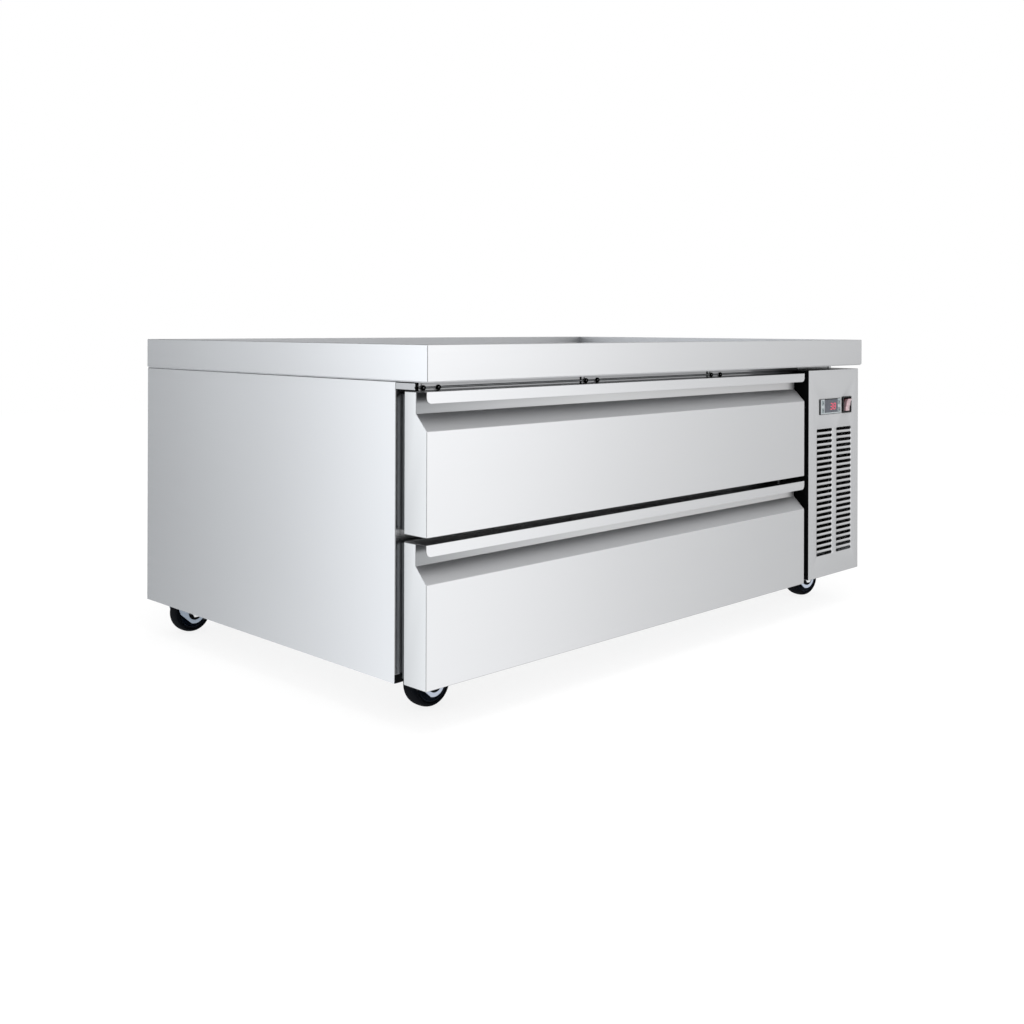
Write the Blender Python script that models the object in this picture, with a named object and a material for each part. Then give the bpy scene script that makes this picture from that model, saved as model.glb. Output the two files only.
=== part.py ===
# Refrigerated chef base: a low two-drawer refrigerator on casters with a stainless worktop.
# Metres, +Z up. The drawers face -Y, the floor is z = 0, and the origin is under the middle.

import math

import bmesh
import bpy
from mathutils import Matrix, Vector

for existing in list(bpy.data.objects):
    bpy.data.objects.remove(existing, do_unlink=True)


# Overall size
width = 1.232
depth = 0.812
height = 0.556

# Gaps and stock
fit = 0.0003
slide_play = 0.0005
turn_play = 0.0006
sheet = 0.0012
overrun = 0.005
round_steps = 24
small_round_steps = 12

# Worktop
apron_height = 0.052
rim_width = 0.012
rim_round = 0.0025
top_recess = 0.016
shadow_gap = 0.0023

# Cabinet
side_inset = 0.0013
body_setback = 0.072
skirt_height = 0.0625
front_return = 0.0107
wall_thickness = 0.0442
back_thickness = 0.0455
divider_thickness = 0.045
floor_thickness = 0.030
frame_depth = 0.009
frame_bottom = 0.078
foot_bottom = 0.064
foot_width = 0.012

# Drawers
drawer_setback = 0.0026
drawer_bottom = 0.0655
drawer_gap = 0.010
drawer_drop = 0.0665
drawer_thickness = 0.0484
lip_flange = 0.017
lip_corner = 0.0085
finger_recess = 0.0234
recess_height = 0.0325
bevel_height = 0.024
gasket_inset = 0.014
gasket_width = 0.014
seal_land = 0.0005
box_drop = 0.034
box_floor_gap = 0.0047
box_back_gap = 0.0234

# Slides, from the wall to the box
slide_height = 0.040
slide_stock = 0.0015
slide_sag = 0.0065
slide_start_gap = 0.0012
slide_end_gap = 0.0193
slide_depth = 0.0157
fixed_reach_share = 0.75
middle_reach_share = 0.80

# Top rail and its brackets
rail_setback = 0.027
rail_height = 0.0105
rail_drop = 0.0025
rail_beyond = 0.013
rail_slot_height = 0.0010
rail_slot_depth = 0.0006
rail_slot_rise = 0.0020
rail_bar_width = 0.0030
rail_bar_offset = 0.0257
bracket_first = 0.0319
bracket_pitch = 0.3512
bracket_count = 3
bracket_length = 0.041
bracket_height = 0.0080
bracket_stock = 0.0008
bracket_screw_pitch = 0.0288
bracket_screw_radius = 0.0036
bracket_screw_head = 0.0016

# Machine panel with its louvres
machine_gap = 0.017
machine_width = 0.200
machine_inset = 0.010
machine_drop = 0.0615
machine_bottom = 0.0685
machine_stile = 0.004
louvre_left = 0.031
louvre_columns = 2
louvre_column_pitch = 0.078
louvre_drop = 0.1245
louvre_pitch = 0.01155
louvre_margin = 0.045
louvre_length = 0.060
louvre_height = 0.0058
louvre_corner_steps = 4

# Controller, measured from the machine panel's upper left corner
bezel_left = 0.0455
bezel_drop = 0.060
bezel_width = 0.079
bezel_height = 0.032
bezel_proud = 0.0020
case_margin = 0.002
case_depth = 0.060
window_left = 0.0133
window_width = 0.0509
window_margin = 0.0035
window_depth = 0.0012
button_width = 0.0075
button_height = 0.0095
button_margin = 0.0035
button_depth = 0.0030
button_proud = 0.0006
button_travel = 0.0008

# Rocker switch, measured from the same corner
switch_left = 0.1335
switch_drop = 0.058
switch_width = 0.034
switch_height = 0.0345
switch_proud = 0.0030
switch_wall = 0.003
switch_case_depth = 0.018
switch_pocket_depth = 0.0112
switch_pivot_depth = 0.0020
rocker_face = 0.005526
rocker_dish = 0.0013
rocker_back = 0.0030
rocker_taper = 0.0012
rocker_tilt = math.radians(12)

# Condensing unit in the machine compartment
coil_width = 0.190
coil_tube = 0.0045
coil_pitch = 0.0205
coil_passes = 12
coil_depth = 0.040
coil_setback = 0.030
bend_steps = 4
shroud_width = 0.212
shroud_height = 0.262
shroud_stock = 0.0015
condenser_fan_radius = 0.088
fan_tip_gap = 0.006
shroud_ring_depth = 0.026
fan_setback = 0.0135
fan_hub_radius = 0.024
fan_hub_depth = 0.016
fan_blade_stock = 0.0018
fan_blade_count = 5
fan_blade_root_share = 0.24
fan_blade_tip_share = 0.58
fan_pitch = math.radians(26)
shaft_radius = 0.003
motor_radius = 0.034
motor_depth = 0.050
motor_setback = 0.036
strap_width = 0.014
strap_stock = 0.003
strap_edge_gap = 0.0015
compressor_radius = 0.074
compressor_height = 0.205
compressor_setback = 0.300
compressor_foot = 0.168
compressor_foot_stock = 0.003
compressor_grommet_radius = 0.012
compressor_grommet_height = 0.014
compressor_stub_radius = 0.005
compressor_stub_length = 0.030
compressor_box_width = 0.046
compressor_box_depth = 0.026

# Evaporator behind the drawers
evaporator_width = 0.300
evaporator_height = 0.172
evaporator_depth = 0.078
evaporator_inset = 0.025
evaporator_drop = 0.0006
evaporator_fan_radius = 0.058
evaporator_opening_gap = 0.004
evaporator_hub_radius = 0.018
evaporator_hub_depth = 0.012
evaporator_coil_depth = 0.034
evaporator_coil_pitch = 0.019
evaporator_coil_passes = 8
evaporator_motor_radius = 0.016
evaporator_motor_depth = 0.012
evaporator_arm_width = 0.008

# Back panel: louvres and the cable gland
back_louvre_pitch = 0.022
back_louvre_drop = 0.090
back_louvre_margin = 0.055
back_louvre_length = 0.140
gland_rise = 0.170
gland_overhang = 0.0034
gland_flange_radius = 0.013
gland_barrel_radius = 0.0095
gland_bore_radius = 0.0045
gland_inner_length = 0.012

# Casters
wheel_radius = 0.0375
wheel_width = 0.031
wheel_bore = 0.0046
wheel_hub_radius = 0.010
wheel_hub_extra = 0.001
wheel_dish = 0.0035
wheel_rim_depth = 0.009
tread_round = 0.004
caster_height = 0.095
caster_trail = 0.015
caster_plate = 0.060
caster_plate_stock = 0.003
caster_plate_round = 0.006
race_radius = 0.022
race_height = 0.0045
kingpin_radius = 0.005
kingpin_head_radius = 0.009
kingpin_head_height = 0.0025
crown_radius = 0.026
fork_stock = 0.0025
fork_gap = 0.0015
axle_radius = 0.004
axle_nut_radius = 0.0085
axle_nut_height = 0.005
caster_left_inset = 0.0835
caster_right_inset = 0.0766
caster_rear_inset = 0.049
caster_front_setback = 0.114
caster_rear_setback = 0.049
caster_right_turn = math.radians(-12)

# Outlines as shares. The leg's are of the wheel's radius, from the axle: along the trail, up.
leg_outline_shares = (
    (-0.98, 0.55),
    (-0.80, 0.02),
    (-0.24, -0.50),
    (0.00, -0.56),
    (0.32, -0.48),
    (0.53, -0.21),
    (0.58, 0.13),
    (0.44, 0.60),
)
# The compressor's are of its radius and height, down from the crown of its shell.
shell_outline_shares = (
    (0.00, 1.00),
    (0.42, 0.985),
    (0.72, 0.93),
    (0.90, 0.82),
    (0.965, 0.68),
    (0.965, 0.565),
    (1.00, 0.56),
    (1.00, 0.53),
    (0.965, 0.525),
    (0.965, 0.22),
    (0.85, 0.11),
    (0.60, 0.06),
    (0.00, 0.06),
)

# Places worked out from the sizes
left = -width / 2
right = width / 2
front = -depth / 2
rear = depth / 2
cabinet_top = height - apron_height - shadow_gap
inner_left = left + side_inset + sheet + fit
inner_right = -inner_left
body_front = front + body_setback
frame_front = body_front + sheet + fit
frame_back = frame_front + frame_depth
wall_front = frame_back + fit
back_inside = rear - sheet - fit
back_wall_front = back_inside - back_thickness
base_low = caster_height + fit
base_high = base_low + sheet
floor_low = base_high + fit
floor_top = floor_low + floor_thickness
wall_low = floor_top + fit
machine_right = right - machine_inset
machine_left = machine_right - machine_width
drawer_left = left + side_inset
drawer_right = machine_left - machine_gap
drawer_face = front + drawer_setback
drawer_back = drawer_face + drawer_thickness
opening_left = inner_left + wall_thickness
opening_right = drawer_right - divider_thickness
machine_middle = (drawer_right + inner_right) / 2
machine_top = height - machine_drop
louvre_space = machine_top - louvre_drop - machine_bottom - louvre_margin
louvre_rows = int(louvre_space / louvre_pitch) + 1
back_louvre_space = cabinet_top - back_louvre_drop - gland_rise - back_louvre_margin
back_louvre_rows = int(back_louvre_space / back_louvre_pitch) + 1
drawer_height = (height - drawer_drop - drawer_gap - drawer_bottom) / 2
opening_inset = gasket_inset + gasket_width + seal_land
box_left = opening_left + slide_depth
box_right = opening_right - slide_depth
box_front = drawer_back + fit
box_back = back_wall_front - fit - evaporator_depth - box_back_gap
box_rise = floor_top + box_floor_gap - drawer_bottom
slide_rise = (drawer_height - box_drop - box_rise) / 2 - slide_sag
slide_start = wall_front + slide_start_gap
slide_end = box_back - slide_end_gap
drawer_tops = (height - drawer_drop, height - drawer_drop - drawer_height - drawer_gap)
drawer_names = ("upper", "lower")

# Finishes: name, colour, metallic, roughness
brushed_steel = ("brushed_stainless", (0.72, 0.73, 0.74), 1.0, 0.32)
liner_steel = ("liner_steel", (0.62, 0.63, 0.64), 1.0, 0.45)
zinc = ("bright_zinc", (0.66, 0.69, 0.72), 1.0, 0.35)
liner_plastic = ("liner_plastic", (0.80, 0.81, 0.82), 0.0, 0.50)
foam_board = ("foam_board", (0.70, 0.70, 0.66), 0.0, 0.80)
black_gasket = ("gasket_vinyl", (0.08, 0.08, 0.09), 0.0, 0.60)
black_plastic = ("black_plastic", (0.02, 0.02, 0.025), 0.0, 0.45)
button_plastic = ("button_plastic", (0.45, 0.50, 0.52), 0.0, 0.50)
red_plastic = ("red_plastic", (0.55, 0.05, 0.06), 0.0, 0.30)
caster_rubber = ("caster_rubber", (0.010, 0.014, 0.020), 0.0, 0.50)
black_enamel = ("black_enamel", (0.015, 0.015, 0.016), 0.0, 0.40)
copper_tube = ("copper_tube", (0.70, 0.36, 0.24), 1.0, 0.35)
dark_sheet = ("painted_sheet", (0.12, 0.12, 0.13), 0.4, 0.50)
fan_plastic = ("fan_plastic", (0.06, 0.06, 0.065), 0.0, 0.50)


# Shapes
def add_block(shape, low, high):
    """A box between two corners."""
    made = bmesh.ops.create_cube(shape, size=1)
    low, high = Vector(low), Vector(high)
    bmesh.ops.scale(shape, vec=high - low, verts=made["verts"])
    bmesh.ops.translate(shape, vec=(low + high) / 2, verts=made["verts"])
    return made["verts"]


def along(axis, first, second, place):
    """A point whose place is measured along the named axis, and the other two across it."""
    if axis == "X":
        return (place, first, second)
    if axis == "Y":
        return (first, place, second)
    return (first, second, place)


def add_prism(shape, outline, axis, start, end):
    """A flat outline, swept straight along one axis."""
    corners = [shape.verts.new(along(axis, a, b, start)) for a, b in outline]
    face = shape.faces.new(corners)
    swept = bmesh.ops.extrude_face_region(shape, geom=[face])["geom"]
    moved = [item for item in swept if isinstance(item, bmesh.types.BMVert)]
    bmesh.ops.translate(shape, vec=along(axis, 0, 0, end - start), verts=moved)
    return corners + moved


def add_turned(shape, profile, axis, centre, steps, ring=False):
    """A profile of (radius, place along the axis), spun once round. A ring's profile is closed."""
    before = set(shape.verts)
    points = [shape.verts.new((radius, 0, place)) for radius, place in profile]
    pairs = list(zip(points, points[1:]))
    if ring:
        pairs.append((points[-1], points[0]))
    edges = [shape.edges.new(pair) for pair in pairs]
    bmesh.ops.spin(
        shape,
        geom=points + edges,
        cent=(0, 0, 0),
        axis=(0, 0, 1),
        angle=math.tau,
        steps=steps,
        use_merge=True,
    )
    spun = [vert for vert in shape.verts if vert not in before]
    bmesh.ops.remove_doubles(shape, verts=spun, dist=fit / 10)
    turned = [vert for vert in shape.verts if vert not in before]
    turns = {
        "X": Matrix.Rotation(math.pi / 2, 4, "Y"),
        "Y": Matrix.Rotation(-math.pi / 2, 4, "X"),
        "Z": Matrix.Identity(4),
    }
    bmesh.ops.transform(shape, matrix=Matrix.Translation(centre) @ turns[axis], verts=turned)
    return turned


def arc(centre, radius, start, end, steps):
    """Points along an arc, both ends included."""
    angles = [start + (end - start) * step / steps for step in range(steps + 1)]
    return [(centre[0] + radius * math.cos(a), centre[1] + radius * math.sin(a)) for a in angles]


def slot_outline(centre, length, slot_height, corner_steps):
    """A slot with round ends."""
    radius = slot_height / 2
    reach = length / 2 - radius
    outline = arc((centre[0] + reach, centre[1]), radius, -math.pi / 2, math.pi / 2, corner_steps)
    outline += arc((centre[0] - reach, centre[1]), radius, math.pi / 2, math.pi * 3 / 2, corner_steps)
    return outline


def offset_line(points, distance, closed=False):
    """The points moved sideways by a distance, to the left of their direction, with mitred corners."""
    count = len(points)
    moved = []
    for index, point in enumerate(points):
        here = Vector(point)
        before = Vector(points[index - 1]) if closed or index else None
        after = Vector(points[(index + 1) % count]) if closed or index < count - 1 else None
        sides = []
        for start, end in ((before, here), (here, after)):
            if start is not None and end is not None:
                run = (end - start).normalized()
                sides.append(Vector((-run.y, run.x)))
        normal = sum(sides, Vector((0, 0))).normalized()
        moved.append(tuple(here + normal * (distance / normal.dot(sides[0]))))
    return moved


def shell_faces(shape, axis, from_high):
    """The faces at the low or the high end along an axis."""
    number = "XYZ".index(axis)
    places = [face.calc_center_median()[number] for face in shape.faces]
    wanted = max(places) if from_high else min(places)
    return [face for face, place in zip(list(shape.faces), places) if abs(place - wanted) < fit]


# Objects
def make(name, shape):
    """An object from a finished shape, with its faces pointing out."""
    bmesh.ops.recalc_face_normals(shape, faces=shape.faces)
    mesh = bpy.data.meshes.new(name)
    shape.to_mesh(mesh)
    shape.free()
    made = bpy.data.objects.new(name, mesh)
    bpy.context.scene.collection.objects.link(made)
    return made


def piece(name, shape, finish, smooth=False):
    """A sub-part with a material of its own."""
    made = make(name, shape)
    label, colour, metallic, roughness = finish
    material = bpy.data.materials.new(f"{name}_{label}")
    material.use_nodes = True
    shader = material.node_tree.nodes["Principled BSDF"]
    shader.inputs["Base Color"].default_value = (*colour, 1)
    shader.inputs["Metallic"].default_value = metallic
    shader.inputs["Roughness"].default_value = roughness
    made.data.materials.append(material)
    if smooth:
        made.data.shade_smooth()
        made.data.set_sharp_from_angle(angle=math.radians(35))
    return made


def boolean(target, shape, operation):
    """Cuts a helper shape from the target, or joins it on."""
    number = len(target.modifiers)
    helper = make(f"{target.name}_{operation.lower()}_{number}", shape)
    helper.hide_render = True
    helper.display_type = "WIRE"
    modifier = target.modifiers.new(f"{operation.lower()} {number}", "BOOLEAN")
    modifier.operation = operation
    modifier.object = helper


def cut(target, shape):
    boolean(target, shape, "DIFFERENCE")


def join(target, shape):
    boolean(target, shape, "UNION")


def thicken(target, thickness):
    """Gives an open shell its sheet, inwards from the surface drawn."""
    modifier = target.modifiers.new("sheet", "SOLIDIFY")
    modifier.thickness = thickness
    modifier.offset = -1
    modifier.use_even_offset = True


def open_shell(name, low, high, axis, open_high, finish, thickness=sheet):
    """A folded pan: a box with one side left open."""
    shape = bmesh.new()
    add_block(shape, low, high)
    bmesh.ops.delete(shape, geom=shell_faces(shape, axis, open_high), context="FACES_ONLY")
    made = piece(name, shape, finish)
    thicken(made, thickness)
    return made


def block(name, low, high, finish):
    shape = bmesh.new()
    add_block(shape, low, high)
    return piece(name, shape, finish)


def pivot(name, place, moving):
    """An empty on a joint's axis that carries what moves there."""
    empty = bpy.data.objects.new(name, None)
    empty.location = place
    bpy.context.scene.collection.objects.link(empty)
    for made in moving:
        made.parent = empty
        made.matrix_parent_inverse = Matrix.Translation(-Vector(place))
    return empty


# Worktop
def worktop():
    shape = bmesh.new()
    add_block(shape, (left, front, height - apron_height), (right, rear, height))
    bmesh.ops.delete(shape, geom=shell_faces(shape, "Z", False), context="FACES_ONLY")
    top = shell_faces(shape, "Z", True)
    bmesh.ops.inset_region(shape, faces=top, thickness=rim_width, use_even_offset=True)
    shape.normal_update()
    outer = [edge for edge in shape.edges if {round(face.normal.z) for face in edge.link_faces} == {0, 1}]
    sunk = bmesh.ops.extrude_face_region(shape, geom=top)["geom"]
    bmesh.ops.delete(shape, geom=top, context="FACES_ONLY")
    sunk = [item for item in sunk if isinstance(item, bmesh.types.BMVert)]
    bmesh.ops.translate(shape, vec=(0, 0, -top_recess), verts=sunk)
    bmesh.ops.bevel(
        shape,
        geom=outer,
        offset=rim_round,
        offset_type="OFFSET",
        segments=3,
        profile=0.5,
        affect="EDGES",
        material=-1,
    )
    thicken(piece("worktop", shape, brushed_steel), sheet)
    inside = sheet + fit
    block(
        "worktop_core",
        (left + inside, front + inside, cabinet_top + fit),
        (right - inside, rear - inside, height - top_recess - inside),
        foam_board,
    )


# Outer skins
def side_panels():
    for name, side in (("left_side_panel", -1), ("right_side_panel", 1)):
        outer = side * (right - side_inset)
        inner = outer - side * sheet
        turned_in = outer - side * front_return
        outline = [
            (outer, body_front),
            (outer, rear),
            (inner, rear),
            (inner, body_front + sheet),
            (turned_in, body_front + sheet),
            (turned_in, body_front),
        ]
        shape = bmesh.new()
        add_prism(shape, outline, "Z", skirt_height, cabinet_top)
        piece(name, shape, brushed_steel)


def back_panel():
    panel = block(
        "back_panel",
        (inner_left, rear - sheet, skirt_height),
        (inner_right, rear, cabinet_top),
        liner_steel,
    )
    slots = bmesh.new()
    for row in range(back_louvre_rows):
        centre = (machine_middle, cabinet_top - back_louvre_drop - row * back_louvre_pitch)
        outline = slot_outline(centre, back_louvre_length, louvre_height, louvre_corner_steps)
        add_prism(slots, outline, "Y", rear - sheet - overrun, rear + overrun)
    cut(panel, slots)
    hole = bmesh.new()
    hole_radius = gland_barrel_radius + turn_play
    outline = arc((machine_middle, gland_rise), hole_radius, 0, math.tau, small_round_steps)[:-1]
    add_prism(hole, outline, "Y", rear - sheet - overrun, rear + overrun)
    cut(panel, hole)


def base_panel():
    low = (inner_left, wall_front, base_low)
    high = (inner_right, back_inside, base_high)
    block("base_panel", low, high, liner_steel)


# Foamed walls with a plastic liner
def walls():
    block(
        "cabinet_floor",
        (inner_left, wall_front, floor_low),
        (drawer_right, back_inside, floor_top),
        liner_plastic,
    )
    block(
        "left_wall",
        (inner_left, wall_front, wall_low),
        (opening_left, back_wall_front - fit, cabinet_top),
        liner_plastic,
    )
    block(
        "divider_wall",
        (opening_right, wall_front, wall_low),
        (drawer_right, back_wall_front - fit, cabinet_top),
        liner_plastic,
    )
    block(
        "back_wall",
        (inner_left, back_wall_front, wall_low),
        (drawer_right, back_inside, cabinet_top),
        liner_plastic,
    )


# Front frame that the gaskets close on, with the machine compartment's opening beside the drawers
def front_frame():
    frame = block(
        "front_frame",
        (inner_left, frame_front, foot_bottom),
        (inner_right, frame_back, cabinet_top),
        brushed_steel,
    )
    upper_top, lower_top = drawer_tops
    openings = (
        (opening_left, opening_right, upper_top - drawer_height + opening_inset, upper_top - opening_inset),
        (opening_left, opening_right, floor_top, lower_top - opening_inset),
        (
            machine_left + machine_stile,
            machine_right - machine_stile,
            base_high + machine_stile,
            machine_top - machine_stile,
        ),
        (inner_left + foot_width, drawer_right - foot_width, foot_bottom - overrun, frame_bottom),
        (machine_left + machine_stile, inner_right + overrun, foot_bottom - overrun, frame_bottom),
    )
    shape = bmesh.new()
    for low_x, high_x, low_z, high_z in openings:
        low = (low_x, frame_front - overrun, low_z)
        high = (high_x, frame_back + overrun, high_z)
        add_block(shape, low, high)
    cut(frame, shape)


# Top rail, with a bar groove and a screwed bracket at each fixing
def top_rail():
    face = front + rail_setback
    high = cabinet_top - rail_drop + shadow_gap
    low = high - rail_height
    rail_left = drawer_left
    rail_right = drawer_right + rail_beyond
    rail = open_shell(
        "top_rail",
        (rail_left, face, low),
        (rail_right, body_front - fit, high),
        "Y",
        True,
        brushed_steel,
    )
    slot_low = low + rail_slot_rise
    slot = bmesh.new()
    add_block(
        slot,
        (rail_left - overrun, face - overrun, slot_low),
        (rail_right + overrun, face + rail_slot_depth, slot_low + rail_slot_height),
    )
    cut(rail, slot)
    bars = bmesh.new()
    for number in range(bracket_count):
        centre = left + bracket_first + number * bracket_pitch
        bar = centre - rail_bar_offset
        add_block(
            bars,
            (bar - rail_bar_width / 2, face - overrun, low - overrun),
            (bar + rail_bar_width / 2, face + rail_slot_depth, high + overrun),
        )
        rail_bracket(number + 1, centre, face - fit, (low + high) / 2)
    cut(rail, bars)


def rail_bracket(number, centre, back, middle):
    plate_front = back - bracket_stock
    bracket = block(
        f"rail_bracket_{number}",
        (centre - bracket_length / 2, plate_front, middle - bracket_height / 2),
        (centre + bracket_length / 2, back, middle + bracket_height / 2),
        zinc,
    )
    screws = bmesh.new()
    for side in (-1, 1):
        place = (centre + side * bracket_screw_pitch / 2, back - bracket_stock / 2, middle)
        reach = bracket_screw_head + bracket_stock / 2
        profile = [
            (0, 0),
            (bracket_screw_radius, 0),
            (bracket_screw_radius, -reach / 2),
            (bracket_screw_radius * 0.7, -reach),
            (0, -reach),
        ]
        add_turned(screws, profile, "Y", place, small_round_steps)
    join(bracket, screws)


# Drawers
def front_outline(top):
    """The closed side view of a drawer front, as (y, z), from its top back corner."""
    bottom = top - drawer_height
    recess = drawer_face + finger_recess
    return [
        (drawer_back, top),
        (recess, top),
        (recess, top - recess_height),
        (drawer_face, top - recess_height - bevel_height),
        (drawer_face, bottom),
        (drawer_back, bottom),
    ]


def hollow_outline(top, inset, back):
    """The same view, drawn in by an inset, with its back edge at the place given."""
    drawn = offset_line(front_outline(top), inset, closed=True)
    middle = (drawer_face + finger_recess + drawer_back) / 2
    return [(back if y > middle else y, z) for y, z in drawn]


def drawer_skin(name, top):
    recess = drawer_face + finger_recess
    outline = front_outline(top)
    flange_bottom = top - lip_flange
    lip = [
        (drawer_face, top),
        (drawer_face, flange_bottom),
        (drawer_face + sheet, flange_bottom),
        (drawer_face + sheet, top - sheet),
        (recess, top - sheet),
    ]
    shape = bmesh.new()
    add_prism(shape, outline[:1] + lip + outline[2:], "X", drawer_left, drawer_right)
    skin = piece(name, shape, brushed_steel)
    hollow = bmesh.new()
    inside = hollow_outline(top, sheet, drawer_back + overrun)
    add_prism(hollow, inside, "X", drawer_left + sheet, drawer_right - sheet)
    cut(skin, hollow)
    corners = bmesh.new()
    for edge, side in ((drawer_left, -1), (drawer_right, 1)):
        centre = (edge - side * lip_corner, flange_bottom + lip_corner)
        outline = [(edge + side * overrun, flange_bottom - overrun)]
        outline += [(centre[0], flange_bottom - overrun)]
        outline += [
            (centre[0] + side * (x - centre[0]), z)
            for x, z in arc(centre, lip_corner, -math.pi / 2, 0, louvre_corner_steps)
        ]
        outline += [(edge + side * overrun, centre[1])]
        add_prism(corners, outline, "Y", drawer_face - overrun, drawer_face + sheet + overrun / 2)
    cut(skin, corners)
    return skin


def drawer_core(name, top):
    inset = sheet + fit
    shape = bmesh.new()
    outline = hollow_outline(top, inset, drawer_back)
    add_prism(shape, outline, "X", drawer_left + inset, drawer_right - inset)
    return piece(name, shape, liner_plastic)


def gasket(name, top):
    back = frame_front - fit
    face = drawer_back + fit
    inset = gasket_inset
    ring = bmesh.new()
    low = (drawer_left + inset, face, top - drawer_height + inset)
    high = (drawer_right - inset, back, top - inset)
    add_block(ring, low, high)
    made = piece(name, ring, black_gasket)
    window = bmesh.new()
    inset += gasket_width
    low = (drawer_left + inset, face - overrun, top - drawer_height + inset)
    high = (drawer_right - inset, back + overrun, top - inset)
    add_block(window, low, high)
    cut(made, window)
    return made


def slide_channel(shape, wall, side, gap, reach, half_height, centre_z, start, end):
    """A C channel along Y. The gap and the reach are measured from the wall it runs beside."""
    web = wall + side * gap
    lips = wall + side * reach
    turned = half_height - slide_stock
    outline = [
        (lips, centre_z + half_height),
        (web, centre_z + half_height),
        (web, centre_z - half_height),
        (lips, centre_z - half_height),
        (lips, centre_z - turned),
        (web + side * slide_stock, centre_z - turned),
        (web + side * slide_stock, centre_z + turned),
        (lips, centre_z + turned),
    ]
    return add_prism(shape, outline, "Y", start, end)


def drawer_box(name, top):
    """The steel tray that carries the pans, with the inner slide members on its sides."""
    box_bottom = top - drawer_height + box_rise
    box = open_shell(
        name,
        (box_left, box_front, box_bottom),
        (box_right, box_back, top - box_drop),
        "Z",
        True,
        liner_steel,
    )
    step = slide_stock + slide_play
    members = bmesh.new()
    for wall, side in ((opening_left, 1), (opening_right, -1)):
        slide_channel(
            members,
            wall,
            side,
            fit + 2 * step,
            slide_depth + sheet / 2,
            slide_height / 2 - 2 * step,
            box_bottom + slide_rise,
            slide_start,
            slide_end,
        )
    join(box, members)
    return box


def drawer_slides(name, top):
    """The members fixed to the walls, and the middle members between them and the box."""
    step = slide_stock + slide_play
    centre_z = top - drawer_height + box_rise + slide_rise
    middles = []
    for label, wall, side in (("left", opening_left, 1), ("right", opening_right, -1)):
        fixed = bmesh.new()
        reach = slide_depth * fixed_reach_share
        half = slide_height / 2
        slide_channel(fixed, wall, side, fit, reach, half, centre_z, slide_start, slide_end)
        piece(f"{name}_{label}_fixed_slide", fixed, zinc)
        middle = bmesh.new()
        reach = slide_depth * middle_reach_share
        half = slide_height / 2 - step
        slide_channel(middle, wall, side, fit + step, reach, half, centre_z, slide_start, slide_end)
        middles.append(piece(f"{name}_{label}_middle_slide", middle, zinc))
    return middles


def drawers():
    for name, top in zip(drawer_names, drawer_tops):
        moving = [
            drawer_skin(f"{name}_drawer_front", top),
            drawer_core(f"{name}_drawer_core", top),
            gasket(f"{name}_drawer_gasket", top),
            drawer_box(f"{name}_drawer_box", top),
        ]
        place = ((drawer_left + drawer_right) / 2, drawer_face, top - drawer_height / 2)
        pivot(f"{name}_drawer_slide", place, moving)
        pivot(f"{name}_middle_slide", place, drawer_slides(name, top))


# Machine panel and what it carries
def machine_panel():
    panel = open_shell(
        "machine_panel",
        (machine_left, drawer_face, machine_bottom),
        (machine_right, body_front - fit, machine_top),
        "Y",
        True,
        brushed_steel,
    )
    near = drawer_face - overrun
    far = drawer_face + sheet + overrun
    slots = bmesh.new()
    for column in range(louvre_columns):
        middle = machine_left + louvre_left + louvre_length / 2 + column * louvre_column_pitch
        for row in range(louvre_rows):
            centre = (middle, machine_top - louvre_drop - row * louvre_pitch)
            outline = slot_outline(centre, louvre_length, louvre_height, louvre_corner_steps)
            add_prism(slots, outline, "Y", near, far)
    cut(panel, slots)
    holes = bmesh.new()
    for low, high in (controller_case(), switch_case()):
        low = (low[0] - fit, near, low[2] - fit)
        high = (high[0] + fit, far, high[2] + fit)
        add_block(holes, low, high)
    cut(panel, holes)


def controller_case():
    """The corners of the case behind the bezel."""
    low_x = machine_left + bezel_left + case_margin
    high_x = machine_left + bezel_left + bezel_width - case_margin
    high_z = machine_top - bezel_drop - case_margin
    low_z = machine_top - bezel_drop - bezel_height + case_margin
    return (low_x, drawer_face - bezel_proud / 2, low_z), (high_x, drawer_face + case_depth, high_z)


def switch_case():
    """The corners of the case behind the switch's frame."""
    low_x = machine_left + switch_left + case_margin
    high_x = machine_left + switch_left + switch_width - case_margin
    high_z = machine_top - switch_drop - case_margin
    low_z = machine_top - switch_drop - switch_height + case_margin
    low = (low_x, drawer_face - switch_proud / 2, low_z)
    return low, (high_x, drawer_face + switch_case_depth, high_z)


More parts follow.
